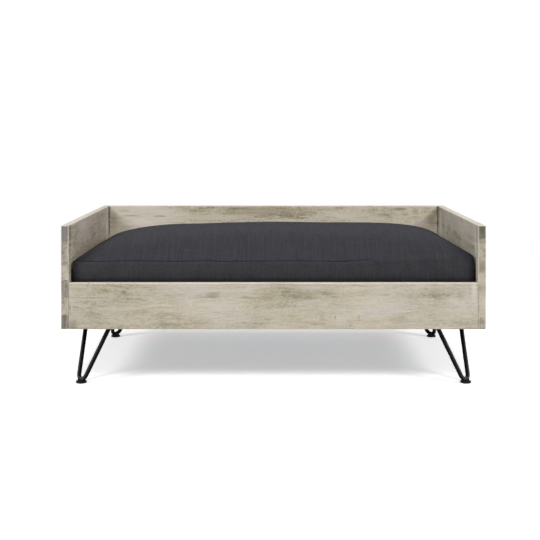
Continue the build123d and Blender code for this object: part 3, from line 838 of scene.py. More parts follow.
# Numbers in brackets are a hump's height, place and width, or a climb's height, start and length. They are
# in metres, but the lifts and CORNER_SAG start at a share of the cushion's half width.
SEAM_HEIGHT = 0.2634
SEAM_MARGIN = 0.0018
CORNER_RADIUS = 0.006
FIT_ACROSS = -0.0035
FIT_ALONG = 0.0005
COVER_WALL = 0.005
CROWN_POWER_LEFT = 4.1
CROWN_POWER_RIGHT = 7.0
CROWN_POWER_ALONG = 4.0
BOTTOM_GAP = 0.0002
BOTTOM_SEAM_RISE = 0.005
BOTTOM_SEAM_REACH = 0.016
RIGHT_LIFT = (1.0, 0.4, 0.6)
RIGHT_LIFT_POWER = 1.5
LEFT_LIFT = (0.0016, 0.9, 0.1)
BACK_SAG = 0.0020
CORNER_SAG = (0.0062, 0.93, 0.07)
CORNER_SAG_BACK = (1.0, 0.05, 0.17)
WANDER_POWER = 8

# Gaps to the boards, and how far past the tape's face the back may reach. Cloth under the tape is held:
# how near the back it has to be, how far past the tape it goes up and along, and its gap to the tape.
RAIL_GAP = 0.0015
SIDE_GAP = 0.0012
TAPE_REACH = 0.006
BACK_SLACK = 0.001
HELD_UP = 0.003
HELD_ALONG = 0.006
HELD_GAP = 0.0004

# Cloth that rolls over the top seam: how far from the seam and in how many steps, where it does so on the
# right of the front, and how far in and over what length at the ends, which is less at the left
ROLL = 0.020
ROLL_STEPS = 12
ROLL_RIGHT = (1.0, 0.200, 0.02)
ROLL_FRONT = (1.0, 0.0, 0.05)
ROLL_END = 0.014
ROLL_END_LENGTH = 0.008
ROLL_LEFT_SHARE = 0.3

# Unevenness of the front seam and of the filling along X
SEAM_DIP = (0.0012, -0.105, 0.022)
SEAM_CLIMB = (0.0022, 0.15, 0.05)
SEAM_WAVE = 0.0006
SEAM_WAVE_LENGTH = 0.028
FILLING_RISE = (0.0019, 0.015, 0.075)
FILLING_HOLLOW = (0.0020, -0.19, 0.06)

# Folds across the front seam: depth, length, how far away their phase repeats and how far they reach, the
# pull of the stitches everywhere, and where it is stronger
PUCKER_DEPTH = 0.0012
PUCKER_LENGTH = 0.033
PUCKER_REPEAT = 0.091
PUCKER_REACH = 0.013
PUCKER_PULL = 0.12
PUCKER_HUMP = (0.5, -0.146, 0.03)
PUCKER_CLIMB = (0.9, 0.02, 0.03)
PUCKER_END = 0.235

# Painted shade in the front seam: everywhere, and more or less of it along X
SEAM_PAINTED_SHADE = 0.45
SEAM_PAINTED_SHADE_ALONG = ((0.28, -0.112, 0.020), (0.22, 0.145, 0.030), (-0.26, 0.102, 0.014))

# Painted shading: lighter on the boxing under the seam, painted shade on the front towards the rail and
# below its top, painted shade at both ends, with a reach for the boxing and one for the panels, and a little
# darker at the right
UNDER_SEAM = (0.09, -0.022, 0.022)
FRONT = (1.0, 0.1, 0.1)
PAINTED_SHADE_NEAR_RAIL = (0.34, -0.022, 0.026)
PAINTED_SHADE_BELOW_RAIL = (0.5, -0.009, 0.009)
END_PAINTED_SHADE = 0.55
BOXING_END = 0.013
PANEL_END = 0.048
RIGHT_DARK = 0.04


def hump(x, height, place, width):
    """A bell curve."""
    return height * np.exp(-((x - place) / width) ** 2)


def climb(x, height, start, length):
    """A straight climb from 0 to a height."""
    return height * np.clip((x - start) / length, 0, 1)


def cell_lines(half, cell):
    """Places of the mesh's lines from -half to half: even cells, with one thin cell along each seam."""
    count = int(round(2 * (half - SEAM_MARGIN) / cell))
    inner = np.linspace(-half + SEAM_MARGIN, half - SEAM_MARGIN, count + 1)
    return np.concatenate([[-half], inner, [half]])


def round_corners(x, y, half_x, half_y, radius):
    """Pulls the corners of a rectangle in to quarter circles.

    In each corner square, each coordinate is shortened by the root of one minus half the square of
    the other, which turns a square into a disc."""
    p = np.clip((np.abs(x) - half_x + radius) / radius, 0, 1)
    q = np.clip((np.abs(y) - half_y + radius) / radius, 0, 1)
    shift_x = radius * p * (1 - np.sqrt(1 - q ** 2 / 2))
    shift_y = radius * q * (1 - np.sqrt(1 - p ** 2 / 2))
    return x - np.sign(x) * shift_x, y - np.sign(y) * shift_y


class CushionMesh:
    """Points, faces and cloth coordinates of the cushion before it is filled.

    Two rectangular grids, the top and bottom panels, are joined along their rims by the boxing, a strip
    of rows that goes once round. The top swells by the crown times two flat-topped curves, one across
    and one along the bed, each one minus a power of the distance from the middle. Its seam climbs at the
    right, strays along the front and sags at the back, most in the left corner. Its filling is lumpy."""

    def __init__(self, make):
        self.half_x = (COVER_HIGH.x - COVER_LOW.x) / 2 - FIT_ACROSS
        self.half_y = (COVER_HIGH.y - COVER_LOW.y) / 2 - FIT_ALONG
        self.middle_y = (COVER_HIGH.y + COVER_LOW.y) / 2
        self.bottom = COVER_LOW.z + BOTTOM_GAP
        self.seam = SEAM_HEIGHT
        xs = cell_lines(self.half_x, make.cell)
        ys = cell_lines(self.half_y, make.cell)
        self.columns, self.rows = len(xs), len(ys)
        flat_x, flat_y = np.meshgrid(xs, ys, indexing="ij")
        x, y = round_corners(flat_x, flat_y, self.half_x, self.half_y, CORNER_RADIUS)
        to_right, to_back = flat_x / self.half_x, flat_y / self.half_y
        edge = self.seam + make.right_lift * climb(to_right, *RIGHT_LIFT) ** RIGHT_LIFT_POWER
        edge = edge + climb(-to_right, *LEFT_LIFT)
        edge = edge + self.wander(flat_x) * np.clip(-to_back, 0, 1) ** WANDER_POWER
        edge = edge - BACK_SAG * (1 + to_back) * (1 + to_right)
        edge = edge - climb(-to_right, *CORNER_SAG) * climb(flat_y, *CORNER_SAG_BACK)
        power = np.where(flat_x < 0, CROWN_POWER_LEFT, CROWN_POWER_RIGHT)
        swell = (1 - np.abs(to_right) ** power) * (1 - np.abs(to_back) ** CROWN_POWER_ALONG)
        peak = self.seam + make.crown + self.lumps(flat_x)
        top = np.stack([x, y + self.middle_y, edge + (peak - edge) * swell], -1)
        rim_distance = np.minimum(self.half_x - np.abs(flat_x), self.half_y - np.abs(flat_y))
        rise = BOTTOM_SEAM_RISE * np.clip(1 - rim_distance / BOTTOM_SEAM_REACH, 0, 1) ** 2
        base = np.stack([x, y + self.middle_y, self.bottom + rise], -1)
        self.rim = self.rim_indices()
        rim_top = top.reshape(-1, 3)[self.rim]
        rim_base = base.reshape(-1, 3)[self.rim]
        steps = self.boxing_steps(make.cell)
        strip = rim_top[None] + (rim_base - rim_top)[None] * steps[1:-1, None, None]
        grid = self.columns * self.rows
        self.points = np.concatenate([top.reshape(-1, 3), base.reshape(-1, 3), strip.reshape(-1, 3)])
        self.base_points = np.arange(grid, 2 * grid)
        self.top_seam = self.rim
        self.base_seam = self.rim + grid
        drop = steps[1:-1] * (self.seam - self.bottom)
        drops = np.repeat(drop, len(self.rim))
        self.seam_gap = np.concatenate([rim_distance.ravel(), np.ones(grid), drops])
        self.is_boxing = np.arange(len(self.points)) >= 2 * grid
        self.faces, self.uv = self.sew(top, steps, rim_top, rim_base)

    def wander(self, x):
        """How far the front seam strays: a slow wave, a dip left of the middle and a climb on the right."""
        wave = SEAM_WAVE * np.sin(x / SEAM_WAVE_LENGTH)
        return climb(x, *SEAM_CLIMB) + wave - hump(x, *SEAM_DIP)

    def lumps(self, x):
        """How uneven the filling is along the bed: a rise in the middle and a hollow left of it."""
        return hump(x, *FILLING_RISE) - hump(x, *FILLING_HOLLOW)

    def rim_indices(self):
        """Numbers of the points round a panel, from the front left corner to the right."""
        c, r = self.columns, self.rows
        front = np.arange(c - 1) * r
        right = (c - 1) * r + np.arange(r - 1)
        back = np.arange(c - 1, 0, -1) * r + r - 1
        left = np.arange(r - 1, 0, -1)
        return np.concatenate([front, right, back, left])

    def boxing_steps(self, cell):
        """Shares of the boxing's height at which its rows lie, with a thin row along each seam."""
        height = self.seam - self.bottom - BOTTOM_SEAM_RISE
        margin = SEAM_MARGIN / height
        count = int(round((height - 2 * SEAM_MARGIN) / cell))
        return np.concatenate([[0], np.linspace(margin, 1 - margin, count + 1), [1]])

    def sew(self, top, steps, rim_top, rim_base):
        """Faces of the two panels and of the boxing, and cloth coordinates of each of their corners.

        On the panels the cloth's coordinates are X and Y. On the boxing they are the way round the rim and
        the height, so that the threads run on over the front seam."""
        c, r = self.columns, self.rows
        grid = c * r
        i, j = np.meshgrid(np.arange(c - 1), np.arange(r - 1), indexing="ij")
        here = (i * r + j).ravel()
        top_faces = np.stack([here, here + r, here + r + 1, here + 1], -1)
        base_faces = top_faces[:, ::-1] + grid
        round_count = len(self.rim)
        strip_start = 2 * grid
        rows = [self.rim]
        rows += [strip_start + k * round_count + np.arange(round_count) for k in range(len(steps) - 2)]
        rows += [self.rim + grid]
        rows = np.stack(rows)
        after = np.roll(rows, -1, axis=1)
        strip_faces = np.stack([rows[:-1], rows[1:], after[1:], after[:-1]], -1).reshape(-1, 4)
        flat = np.concatenate([top.reshape(-1, 3)[:, :2]] * 2)
        gaps = np.linalg.norm(np.roll(rim_top, -1, axis=0) - rim_top, axis=1)
        way = np.concatenate([[0], np.cumsum(gaps)]) - self.half_x
        down = -self.half_y + self.middle_y - steps * np.mean(rim_top[:, 2] - rim_base[:, 2])
        u = np.stack([way[:-1], way[:-1], way[1:], way[1:]], -1)
        u = np.broadcast_to(u, (len(steps) - 1, round_count, 4))
        v = np.stack([down[:-1], down[1:], down[1:], down[:-1]], -1)
        v = np.broadcast_to(v[:, None], (len(steps) - 1, round_count, 4))
        strip_uv = np.stack([u, v], -1).reshape(-1, 2)
        uv = np.concatenate([flat[top_faces].reshape(-1, 2), flat[base_faces].reshape(-1, 2), strip_uv])
        return np.concatenate([top_faces, base_faces, strip_faces]), uv


SEAM_PIN = 0.3
CLOTH = {
    "quality": 6, "mass": 0.3, "tension_stiffness": 25, "compression_stiffness": 25, "shear_stiffness": 8,
    "bending_stiffness": 0.6, "vertex_group_mass": "Pinned", "vertex_group_shrink": "Sewn",
    "shrink_min": -0.012, "shrink_max": 0.004}


def fill_cushion(piece, start, make, pinned):
    """Swells the cushion with a cloth simulation under pressure and returns the moved points.

    The bottom panel and the cloth under the zip's tape are pinned, and the seams are held a little. The
    cloth shrinks at the seams, so it puckers along them. No point moves further than the swell."""
    group = piece.vertex_groups.new(name="Pinned")
    group.add(pinned["sewn"].tolist(), SEAM_PIN, "REPLACE")
    group.add(pinned["hold"].tolist(), 1.0, "REPLACE")
    tight = piece.vertex_groups.new(name="Sewn")
    tight.add(pinned["sewn"].tolist(), 1.0, "REPLACE")
    cloth_modifier = piece.modifiers.new("Filling", "CLOTH")
    settings = cloth_modifier.settings
    for name, value in CLOTH.items():
        setattr(settings, name, value)
    settings.use_pressure = True
    settings.uniform_pressure_force = make.pressure
    settings.effector_weights.gravity = 0.0
    cloth_modifier.collision_settings.use_collision = False
    scene = bpy.context.scene
    for step in range(1, make.frames + 1):
        scene.frame_set(step)
    shape = piece.evaluated_get(bpy.context.evaluated_depsgraph_get()).data
    moved = np.empty(len(start) * 3)
    shape.vertices.foreach_get("co", moved)
    piece.modifiers.remove(cloth_modifier)
    piece.vertex_groups.clear()
    scene.frame_set(1)
    move = moved.reshape(-1, 3) - start
    length = np.linalg.norm(move, axis=1, keepdims=True)
    limit = make.swell * np.tanh(length / make.swell)
    return start + move * limit / np.maximum(length, 1e-9)


def set_points(piece, points):
    """Puts new coordinates into a piece's mesh."""
    piece.data.vertices.foreach_set("co", points.ravel())
    piece.data.update()


def point_normals(piece):
    """The outward direction at each point of a piece."""
    normals = np.empty(len(piece.data.vertices) * 3)
    piece.data.vertex_normals.foreach_get("vector", normals)
    return normals.reshape(-1, 3)


def keep_inside(points, shape):
    """Keeps the cushion clear of the boards round it and on the slats under it."""
    side = SIDE_HIGH.x + SIDE_GAP
    points[:, 0] = np.clip(points[:, 0], side, -side)
    points[:, 1] = np.clip(points[:, 1], RAIL_HIGH.y + RAIL_GAP, TAPE_LOW.y + TAPE_REACH)
    points[:, 2] = np.maximum(points[:, 2], shape.bottom)
    return points


class DOGBED_OT_wash_boards(bpy.types.Operator):
    """Washes the four outer boards"""

    bl_idname = "dogbed.wash_boards"
    bl_label = "Wash boards"

    def execute(self, context):
        finish = context.scene.dogbed_boards
        for node, looks in BOARDS.items():
            finish_node(node, washed_wood(node, finish, **looks))
        return {"FINISHED"}


class DOGBED_OT_finish_base(bpy.types.Operator):
    """Finishes the slats, ledgers, blocks, dowels and screws"""

    bl_idname = "dogbed.finish_base"
    bl_label = "Finish base"

    def execute(self, context):
        finish = context.scene.dogbed_base
        slats = sorted(node for node in NODES if node.startswith("slat_") and node != "slat_screws")
        for number, node in enumerate(slats):
            finish_node(node, pine(f"pine {node}", finish, "Y", 2.3 * number + 1.1))
        strips = pine("pine strips", finish, "X", 41.0)
        blocks = [f"corner_block_{corner}" for corner in CORNERS]
        for node in ["front_ledger", "back_ledger", "panel_dowels"] + blocks:
            finish_node(node, strips)
        zinc = coated("zinc screws", (0.62, 0.58, 0.46), 0.34, metallic=1.0, vary=0.15)
        for node in ("slat_screws", "frame_screws"):
            finish_node(node, zinc)
        return {"FINISHED"}


# Depth of the ripples in a weld's bead, as a share of its radius, and how many go round a rod
WELD_RIPPLE = 0.16
WELD_RIPPLES = 13


class DOGBED_OT_finish_legs(bpy.types.Operator):
    """Coats the hairpin legs and welds them to their plates"""

    bl_idname = "dogbed.finish_legs"
    bl_label = "Finish legs"

    def execute(self, context):
        finish = context.scene.dogbed_legs
        coat = powder_coat(finish)
        rubber = coated("foot rubber", (0.007, 0.007, 0.0075), 0.70, specular=0.15)
        for corner in CORNERS:
            finish_node(f"hairpin_rod_{corner}", coat)
            finish_node(f"leg_plate_{corner}", coat)
            finish_node(f"foot_pad_{corner}", rubber)
        finish_node("leg_screws", coated("black screws", (0.02, 0.02, 0.02), 0.3, metallic=0.6))
        welds = self.welds(finish.weld)
        dress(welds, coat, "frame", "black_steel")
        return {"FINISHED"}

    def welds(self, radius):
        """Weld beads: a ring round each rod's top, whose thickness ripples as the welder steps along."""
        turn = np.linspace(0, 2 * np.pi, 56, endpoint=False)
        around = np.linspace(0, 2 * np.pi, 8, endpoint=False)
        thick = radius * (1 + WELD_RIPPLE * np.sin(WELD_RIPPLES * turn))[:, None]
        i, j = np.meshgrid(np.arange(len(turn)), np.arange(len(around)), indexing="ij")
        here, ahead = i * len(around), (i + 1) % len(turn) * len(around)
        after = (j + 1) % len(around)
        quads = np.stack([here + j, ahead + j, ahead + after, here + after], -1).reshape(-1, 4)
        rings = []
        for corner in CORNERS:
            for centre, reach in rod_tops(corner):
                out = reach + thick * np.cos(around)
                rings.append(np.stack([
                    centre[0] + out * np.cos(turn)[:, None],
                    centre[1] + out * np.sin(turn)[:, None],
                    centre[2] + thick * np.sin(around)], -1).reshape(-1, 3))
        faces = np.concatenate([quads + number * i.size for number in range(len(rings))])
        return new_piece("leg_welds", np.concatenate(rings), faces)


def rod_tops(corner):
    """Where a hairpin rod meets its plate: the centre and the radius of each of its two ends."""
    rod = NODES[f"hairpin_rod_{corner}"].data
    points = np.empty(len(rod.vertices) * 3)
    rod.vertices.foreach_get("co", points)
    points = points.reshape(-1, 3)
    top = points[points[:, 2] > points[:, 2].max() - 0.0002]
    middle = top.mean(0)
    along = (top - middle) @ np.array([1.0, -1.0 if middle[0] * middle[1] > 0 else 1.0, 0.0])
    ends = [top[along > 0], top[along < 0]]
    return [(end.mean(0), np.linalg.norm(end - end.mean(0), axis=1).mean()) for end in ends]


class DOGBED_OT_sew_cushion(bpy.types.Operator):
    """Sews the cushion's cover and fills it"""

    bl_idname = "dogbed.sew_cushion"
    bl_label = "Sew cushion"

    def execute(self, context):
        make = context.scene.dogbed_cushion
        shape = CushionMesh(make)
        cover = self.cloth_piece("cushion_cover_sewn", shape.points, shape)
        points = shape.points
        taped = self.under_tape(points)
        points[taped, 1] = TAPE_LOW.y - HELD_GAP
        set_points(cover, points)
        hold = np.union1d(shape.base_points, taped)
        sewn = np.concatenate([shape.top_seam, shape.base_seam])
        points = fill_cushion(cover, points.copy(), make, {"hold": hold, "sewn": sewn})
        points = keep_inside(points, shape)
        points = self.roll(cover, points, shape)
        set_points(cover, points)
        normals = point_normals(cover)
        pad_points = points - normals * COVER_WALL
        depth = self.seam_depth(points, shape, make) + self.puckers(points, shape)
        points = points - normals * depth[:, None]
        set_points(cover, points)
        self.crease(cover, points, shape)
        self.shade(cover, points, shape, make)
        fine = cover.modifiers.new("Fine", "SUBSURF")
        fine.levels = 1
        fine.render_levels = 1
        weave = cloth("charcoal weave", make.warp, make.weft, make.thread)
        dress(cover, weave, "cushion", "cover_fabric", "cushion_cover")
        pad = self.cloth_piece("cushion_pad_filled", pad_points, shape)
        self.paint(pad, np.ones(len(pad_points)))
        ticking = cloth("white ticking", (0.78, 0.77, 0.73), (0.70, 0.69, 0.66), make.thread)
        dress(pad, ticking, "cushion", "insert_fabric", "cushion_insert")
        return {"FINISHED"}

    def cloth_piece(self, name, points, shape):
        """A piece with the cushion's faces and cloth coordinates."""
        piece = new_piece(name, points, shape.faces)
        layer = piece.data.uv_layers.new(name="Cloth")
        layer.data.foreach_set("uv", shape.uv.ravel())
        return piece

    def under_tape(self, points):
        """Numbers of the points on the back that lie under the zip's tape or just past it."""
        back = points[:, 1] > COVER_HIGH.y - FIT_ALONG - BACK_SLACK
        height = np.abs(points[:, 2] - (TAPE_LOW.z + TAPE_HIGH.z) / 2)
        near = height < (TAPE_HIGH.z - TAPE_LOW.z) / 2 + HELD_UP
        near &= np.abs(points[:, 0]) < TAPE_HIGH.x + HELD_ALONG
        return np.flatnonzero(back & near)

    def edge_ends(self, piece):
        """The two points of each of a piece's edges."""
        ends = np.empty(len(piece.data.edges) * 2, int)
        piece.data.edges.foreach_get("vertices", ends)
        return ends.reshape(-1, 2)

    def seam_depth(self, points, shape, make):
        """How far each point is pulled in: the seams by their depth, less where the cloth rolls over the
        front seam at the right."""
        depth = np.zeros(len(points))
        depth[shape.base_seam] = make.seam
        depth[shape.top_seam] = make.seam
        return depth * (1 - self.rolled(points, shape))

    def rolled(self, points, shape):
        """1 where the cloth rolls over the top seam, on the right of the front and at both ends, and 0
        elsewhere."""
        x, y = points[:, 0], points[:, 1]
        right = climb(x, *ROLL_RIGHT) * climb(-y, *ROLL_FRONT)
        ends = climb(np.abs(x), 1.0, shape.half_x - ROLL_END, ROLL_END_LENGTH)
        ends = ends * np.where(x < 0, ROLL_LEFT_SHARE, 1.0)
        return np.maximum(right, ends) * np.clip(2 - 2 * shape.seam_gap / ROLL, 0, 1)

    def roll(self, cover, points, shape):
        """Rounds the top seam where the cloth rolls over it: each point there moves step by step towards
        the middle of its neighbours."""
        ends = self.edge_ends(cover)
        first, second = ends.T
        count = np.bincount(ends.ravel(), minlength=len(points))[:, None]
        share = 0.5 * self.rolled(points, shape)[:, None]
        for _ in range(ROLL_STEPS):
            total = np.stack([
                np.bincount(first, points[second, axis], len(points))
                + np.bincount(second, points[first, axis], len(points)) for axis in range(3)], -1)
            points = points + share * (total / count - points)
        return points

    def puckers(self, points, shape):
        """Small folds across the front seam: a sine along the seam whose phase wanders, fading away from
        the seam, and strongest where the stitching pulls."""
        x = points[:, 0]
        pull = PUCKER_PULL + hump(x, *PUCKER_HUMP)
        pull += climb(x, *PUCKER_CLIMB) * climb(-x, 1.0, -PUCKER_END, PUCKER_CLIMB[2])
        fold = np.sin(2 * np.pi * x / PUCKER_LENGTH + 1.3 * np.sin(2 * np.pi * x / PUCKER_REPEAT))
        return pull * fold * hump(shape.seam_gap, PUCKER_DEPTH, 0.0, PUCKER_REACH)

    def shade(self, cover, points, shape, make):
        """Painted light and shade on the cover: lighter on the boxing, most of all under its seam, and
        painted shade towards the rail, at both ends and in the seams."""
        # Painted shading: levels of the panels and the boxing, lighter on the boxing under its seam
        boxed = BOXING_PAINTED_SHADING + climb(-shape.seam_gap, *UNDER_SEAM)
        nap = np.where(shape.is_boxing, boxed, PANEL_PAINTED_SHADING)
        rolled = self.rolled(points, shape)
        share = np.clip(0.5 + np.where(shape.is_boxing, -0.5, 0.5) * shape.seam_gap / ROLL, 0, 1)
        nap = nap * (1 - rolled) + (BOXING_PAINTED_SHADING + (PANEL_PAINTED_SHADING - BOXING_PAINTED_SHADING) * share) * rolled
        # Painted shade on the front of the boxing towards the rail and below its top
        above = points[:, 2] - RAIL_HIGH.z
        rubbed = climb(-above, *PAINTED_SHADE_NEAR_RAIL) * np.clip(1.4 + above / 0.03, 0.55, 1)
        below_rail_shade = climb(-above, *PAINTED_SHADE_BELOW_RAIL) * np.clip(1.3 + above / 0.012, 0, 1)
        front = shape.is_boxing * climb(-points[:, 1], *FRONT)
        nap = nap * (1 - (rubbed + below_rail_shade) * front)
        # Painted shade at both ends, next to the side panels
        from_end = shape.half_x - np.abs(points[:, 0])
        reach = np.where(shape.is_boxing, BOXING_END, PANEL_END)
        nap = nap * (1 - END_PAINTED_SHADE * np.clip(1.08 - from_end / reach, 0, 1))
        # Painted shade in the sewn seams
        x = points[:, 0]
        pull = SEAM_PAINTED_SHADE + sum(hump(x, *part) for part in SEAM_PAINTED_SHADE_ALONG)
        dark = pull * self.seam_depth(points, shape, make) / make.seam
        self.paint(cover, nap * (1 - dark) * (1 - RIGHT_DARK * x / shape.half_x))

    def paint(self, piece, nap):
        """Puts the painted shading on a piece's points."""
        layer = piece.data.attributes.new("nap", "FLOAT", "POINT")
        layer.data.foreach_set("value", nap.astype(np.float32))

    def crease(self, cover, points, shape):
        """Keeps the seams sharp when the mesh is made finer."""
        sewn = np.zeros(len(points), bool)
        sewn[shape.top_seam] = True
        sewn[shape.base_seam] = True
        sewn &= self.rolled(points, shape) < 0.5
        ends = self.edge_ends(cover)
        sharp = (sewn[ends[:, 0]] & sewn[ends[:, 1]]).astype(np.float32)
        attribute = cover.data.attributes.new("crease_edge", "FLOAT", "EDGE")
        attribute.data.foreach_set("value", sharp)


# Teeth: pitch, length and shift from the chain's middle as shares of the chain's width, and width as a share
# of the pitch. Stitches: pitch, length, thickness and inset from the tape's edges.
TOOTH_PITCH = 0.0026
TOOTH_LENGTH = 0.62
TOOTH_SHIFT = 0.19
TOOTH_WIDTH = 0.46
STITCH_PITCH = 0.0034
STITCH_LENGTH = 0.0026
STITCH_THICK = 0.0006
STITCH_INSET = 0.004


class DOGBED_OT_make_zip(bpy.types.Operator):
    """Makes the zip on the cushion's back"""

    bl_idname = "dogbed.make_zip"
    bl_label = "Make zip"

    def execute(self, context):
        make = context.scene.dogbed_cushion
        black = (0.022, 0.022, 0.024)
        finish_node("zipper_tape", coated("zip tape", black, 0.85, relief=0.0002))
        metal = coated("gunmetal", (0.30, 0.30, 0.31), 0.32, metallic=1.0, vary=0.12)
        for node in ("zipper_stops", "zipper_slider", "zipper_pull"):
            finish_node(node, metal)
        dress(self.teeth(), coated("zip teeth", (0.028, 0.028, 0.030), 0.36), "cushion", "zip_plastic",
              "zipper_chain")
        dress(self.stitches(), coated("zip thread", make.warp, 0.8), "cushion", "zip_tape")
        return {"FINISHED"}

    def teeth(self):
        """Two rows of small bars across the chain, which reach past its middle and take turns."""
        pitch = TOOTH_PITCH
        middle_y = (CHAIN_LOW.y + CHAIN_HIGH.y) / 2
        middle_z = (CHAIN_LOW.z + CHAIN_HIGH.z) / 2
        width = CHAIN_HIGH.z - CHAIN_LOW.z
        points, faces = bead(width * TOOTH_LENGTH, pitch * TOOTH_WIDTH, CHAIN_HIGH.y - CHAIN_LOW.y)
        points = points[:, [1, 2, 0]]
        xs = np.arange(CHAIN_LOW.x + pitch, CHAIN_HIGH.x - pitch, pitch)
        shift = width * TOOTH_SHIFT
        upper = row(xs, middle_y, middle_z + shift)
        lower = row(xs + pitch / 2, middle_y, middle_z - shift)
        return bars("zip_teeth", points, faces, np.concatenate([upper, lower]))

    def stitches(self):
        """Two rows of stitches that hold the tape, each a small rounded bar."""
        points, faces = bead(STITCH_LENGTH, STITCH_THICK, STITCH_THICK)
        xs = np.arange(TAPE_LOW.x + STITCH_PITCH, TAPE_HIGH.x - STITCH_PITCH, STITCH_PITCH)
        lower = row(xs, TAPE_HIGH.y, TAPE_LOW.z + STITCH_INSET)
        upper = row(xs, TAPE_HIGH.y, TAPE_HIGH.z - STITCH_INSET)
        return bars("zip_stitches", points, faces, np.concatenate([lower, upper]))


# Lamps, and how far above the floor they aim. The floor is grey to the light, pale to the camera, a little
# blue within a share of the bed's half size, and plain white further away.
FRONT_LAMP = (2.8, -2.75, 2.55)
FRONT_LAMP_SIZE = 1.2
TOP_LAMP = (0.0, -0.75, 3.0)
TOP_LAMP_SIZE = 2.0
LAMP_AIM = 0.2
FLOOR_HALF = 30.0
FLOOR_DROP = 0.0002
FLOOR_FADE = (0.9, 1.5)
SHADE_FADE = (0.7, 1.2)
FLOOR_GREY = (0.55, 0.55, 0.55)
FLOOR_PALE = (1.25, 1.26, 1.28)
SHADE_TINT = (0.94, 1.005, 1.067)
WHITE = (1.0, 1.0, 1.0)


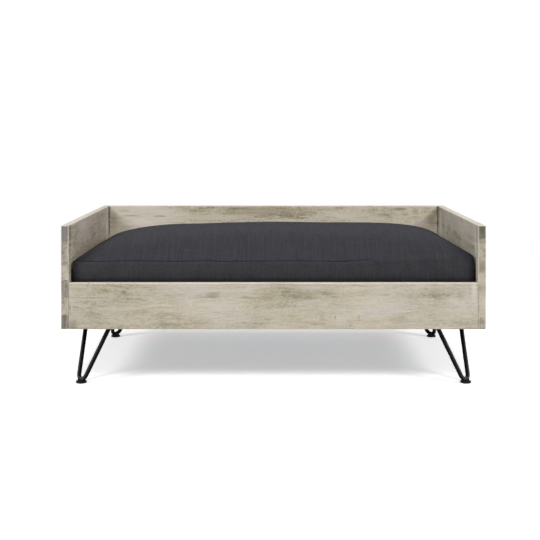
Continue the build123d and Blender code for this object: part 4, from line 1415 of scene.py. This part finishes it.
class DOGBED_OT_set_stage(bpy.types.Operator):
    """Sets the floor, the lamps, the white surroundings and the camera"""

    bl_idname = "dogbed.set_stage"
    bl_label = "Set stage"

    def execute(self, context):
        setup = context.scene.dogbed_stage
        context.scene.view_settings.view_transform = "Standard"
        self.floor(setup)
        self.surroundings(context.scene, setup)
        for side in (-1, 1):
            place = (side * FRONT_LAMP[0], *FRONT_LAMP[1:])
            self.lamp(context.scene, place, setup.front_power, FRONT_LAMP_SIZE)
        self.lamp(context.scene, TOP_LAMP, setup.top_power, TOP_LAMP_SIZE)
        self.camera(context.scene, setup)
        return {"FINISHED"}

    def floor(self, setup):
        """A white floor that takes the bed's shadow nearby and is plain white further away."""
        corners = ((-1, -1), (1, -1), (1, 1), (-1, 1))
        points = np.array([[FLOOR_HALF * x, FLOOR_HALF * y, -FLOOR_DROP] for x, y in corners])
        plane = new_piece("floor", points, np.array([[0, 1, 2, 3]]), smooth=False)
        material, net, shader, place = new_material("white floor")
        x, y, _ = net.split(place["Object"])
        away = net.vector("LENGTH", net.join(x, y, 0.0))
        far = net.ramp(away, *FLOOR_FADE)
        diffuse = net.add("ShaderNodeBsdfDiffuse")
        seen = net.seen()
        net.fill(diffuse, Color=net.mix(seen, colour(FLOOR_GREY), colour(FLOOR_PALE)))
        lift = net.add("ShaderNodeEmission")
        under = net.vector("DIVIDE", net.join(x, y, 0.0), (CAD_HIGH[0], CAD_HIGH[1], 1.0))
        outside = net.ramp(net.vector("LENGTH", under), *SHADE_FADE)
        net.fill(
            lift, Color=net.mix(outside, colour(SHADE_TINT), colour(WHITE)),
            Strength=net.times(seen, setup.floor_lift))
        near = net.add("ShaderNodeAddShader")
        net.feed(near.inputs[0], diffuse.outputs[0])
        net.feed(near.inputs[1], lift.outputs[0])
        white = net.add("ShaderNodeEmission")
        blend = net.add("ShaderNodeMixShader")
        net.feed(blend.inputs[0], net.times(far, seen))
        net.feed(blend.inputs[1], near.outputs[0])
        net.feed(blend.inputs[2], white.outputs[0])
        material.node_tree.nodes.remove(shader)
        net.feed(material.node_tree.nodes["Material Output"].inputs["Surface"], blend.outputs[0])
        plane.data.materials.append(material)

    def surroundings(self, scene, setup):
        """Even light from all round, which the camera and mirrors see as white."""
        world = bpy.data.worlds.new("white surroundings")
        world.use_nodes = True
        net = NodeNet(world.node_tree)
        seen = net.seen()
        ground = world.node_tree.nodes["Background"]
        net.fill(ground, Color=colour(WHITE), Strength=net.ramp(seen, 0.0, 1.0, setup.ambient, 1.0))
        scene.world = world

    def lamp(self, scene, place, power, size):
        """A square lamp that faces the bed."""
        data = bpy.data.lights.new("lamp", "AREA")
        data.energy = power
        data.size = size
        lamp = bpy.data.objects.new("lamp", data)
        lamp.location = place
        aim = lamp.location * -1
        aim.z += LAMP_AIM
        lamp.rotation_euler = aim.to_track_quat("-Z", "Y").to_euler()
        scene.collection.objects.link(lamp)

    def camera(self, scene, setup):
        """A level camera whose axis meets the picture at the aim."""
        data = bpy.data.cameras.new("camera")
        data.sensor_width = 36.0
        data.lens = data.sensor_width * setup.focal / setup.picture
        data.shift_x = 0.5 - setup.aim[0] / setup.picture
        data.shift_y = setup.aim[1] / setup.picture - 0.5
        camera = bpy.data.objects.new("camera", data)
        camera.location = setup.camera
        camera.rotation_euler = (math.pi / 2, 0.0, 0.0)
        scene.collection.objects.link(camera)
        scene.camera = camera


class DOGBED_PT_dresser(bpy.types.Panel):
    """Lists the steps that dress the bed"""

    bl_idname = "DOGBED_PT_dresser"
    bl_label = "Dog Bed"
    bl_space_type = "VIEW_3D"
    bl_region_type = "UI"
    bl_category = "Dog Bed"

    def draw(self, context):
        for step in STEPS:
            self.layout.operator(step.bl_idname)


STEPS = (
    DOGBED_OT_set_stage,
    DOGBED_OT_wash_boards,
    DOGBED_OT_finish_base,
    DOGBED_OT_finish_legs,
    DOGBED_OT_sew_cushion,
    DOGBED_OT_make_zip,
)
SETTINGS = {
    "dogbed_boards": BoardFinish,
    "dogbed_base": BaseFinish,
    "dogbed_legs": LegFinish,
    "dogbed_cushion": CushionMake,
    "dogbed_stage": StageSetup,
}


def register():
    for name, group in SETTINGS.items():
        bpy.utils.register_class(group)
        setattr(bpy.types.Scene, name, PointerProperty(type=group))
    for step in STEPS:
        bpy.utils.register_class(step)
    bpy.utils.register_class(DOGBED_PT_dresser)


def unregister():
    bpy.utils.unregister_class(DOGBED_PT_dresser)
    for step in reversed(STEPS):
        bpy.utils.unregister_class(step)
    for name, group in SETTINGS.items():
        delattr(bpy.types.Scene, name)
        bpy.utils.unregister_class(group)


def main():
    register()
    bpy.ops.dogbed.set_stage()
    bpy.ops.dogbed.wash_boards()
    bpy.ops.dogbed.finish_base()
    bpy.ops.dogbed.finish_legs()
    bpy.ops.dogbed.sew_cushion()
    bpy.ops.dogbed.make_zip()


if __name__ == "__main__":
    main()
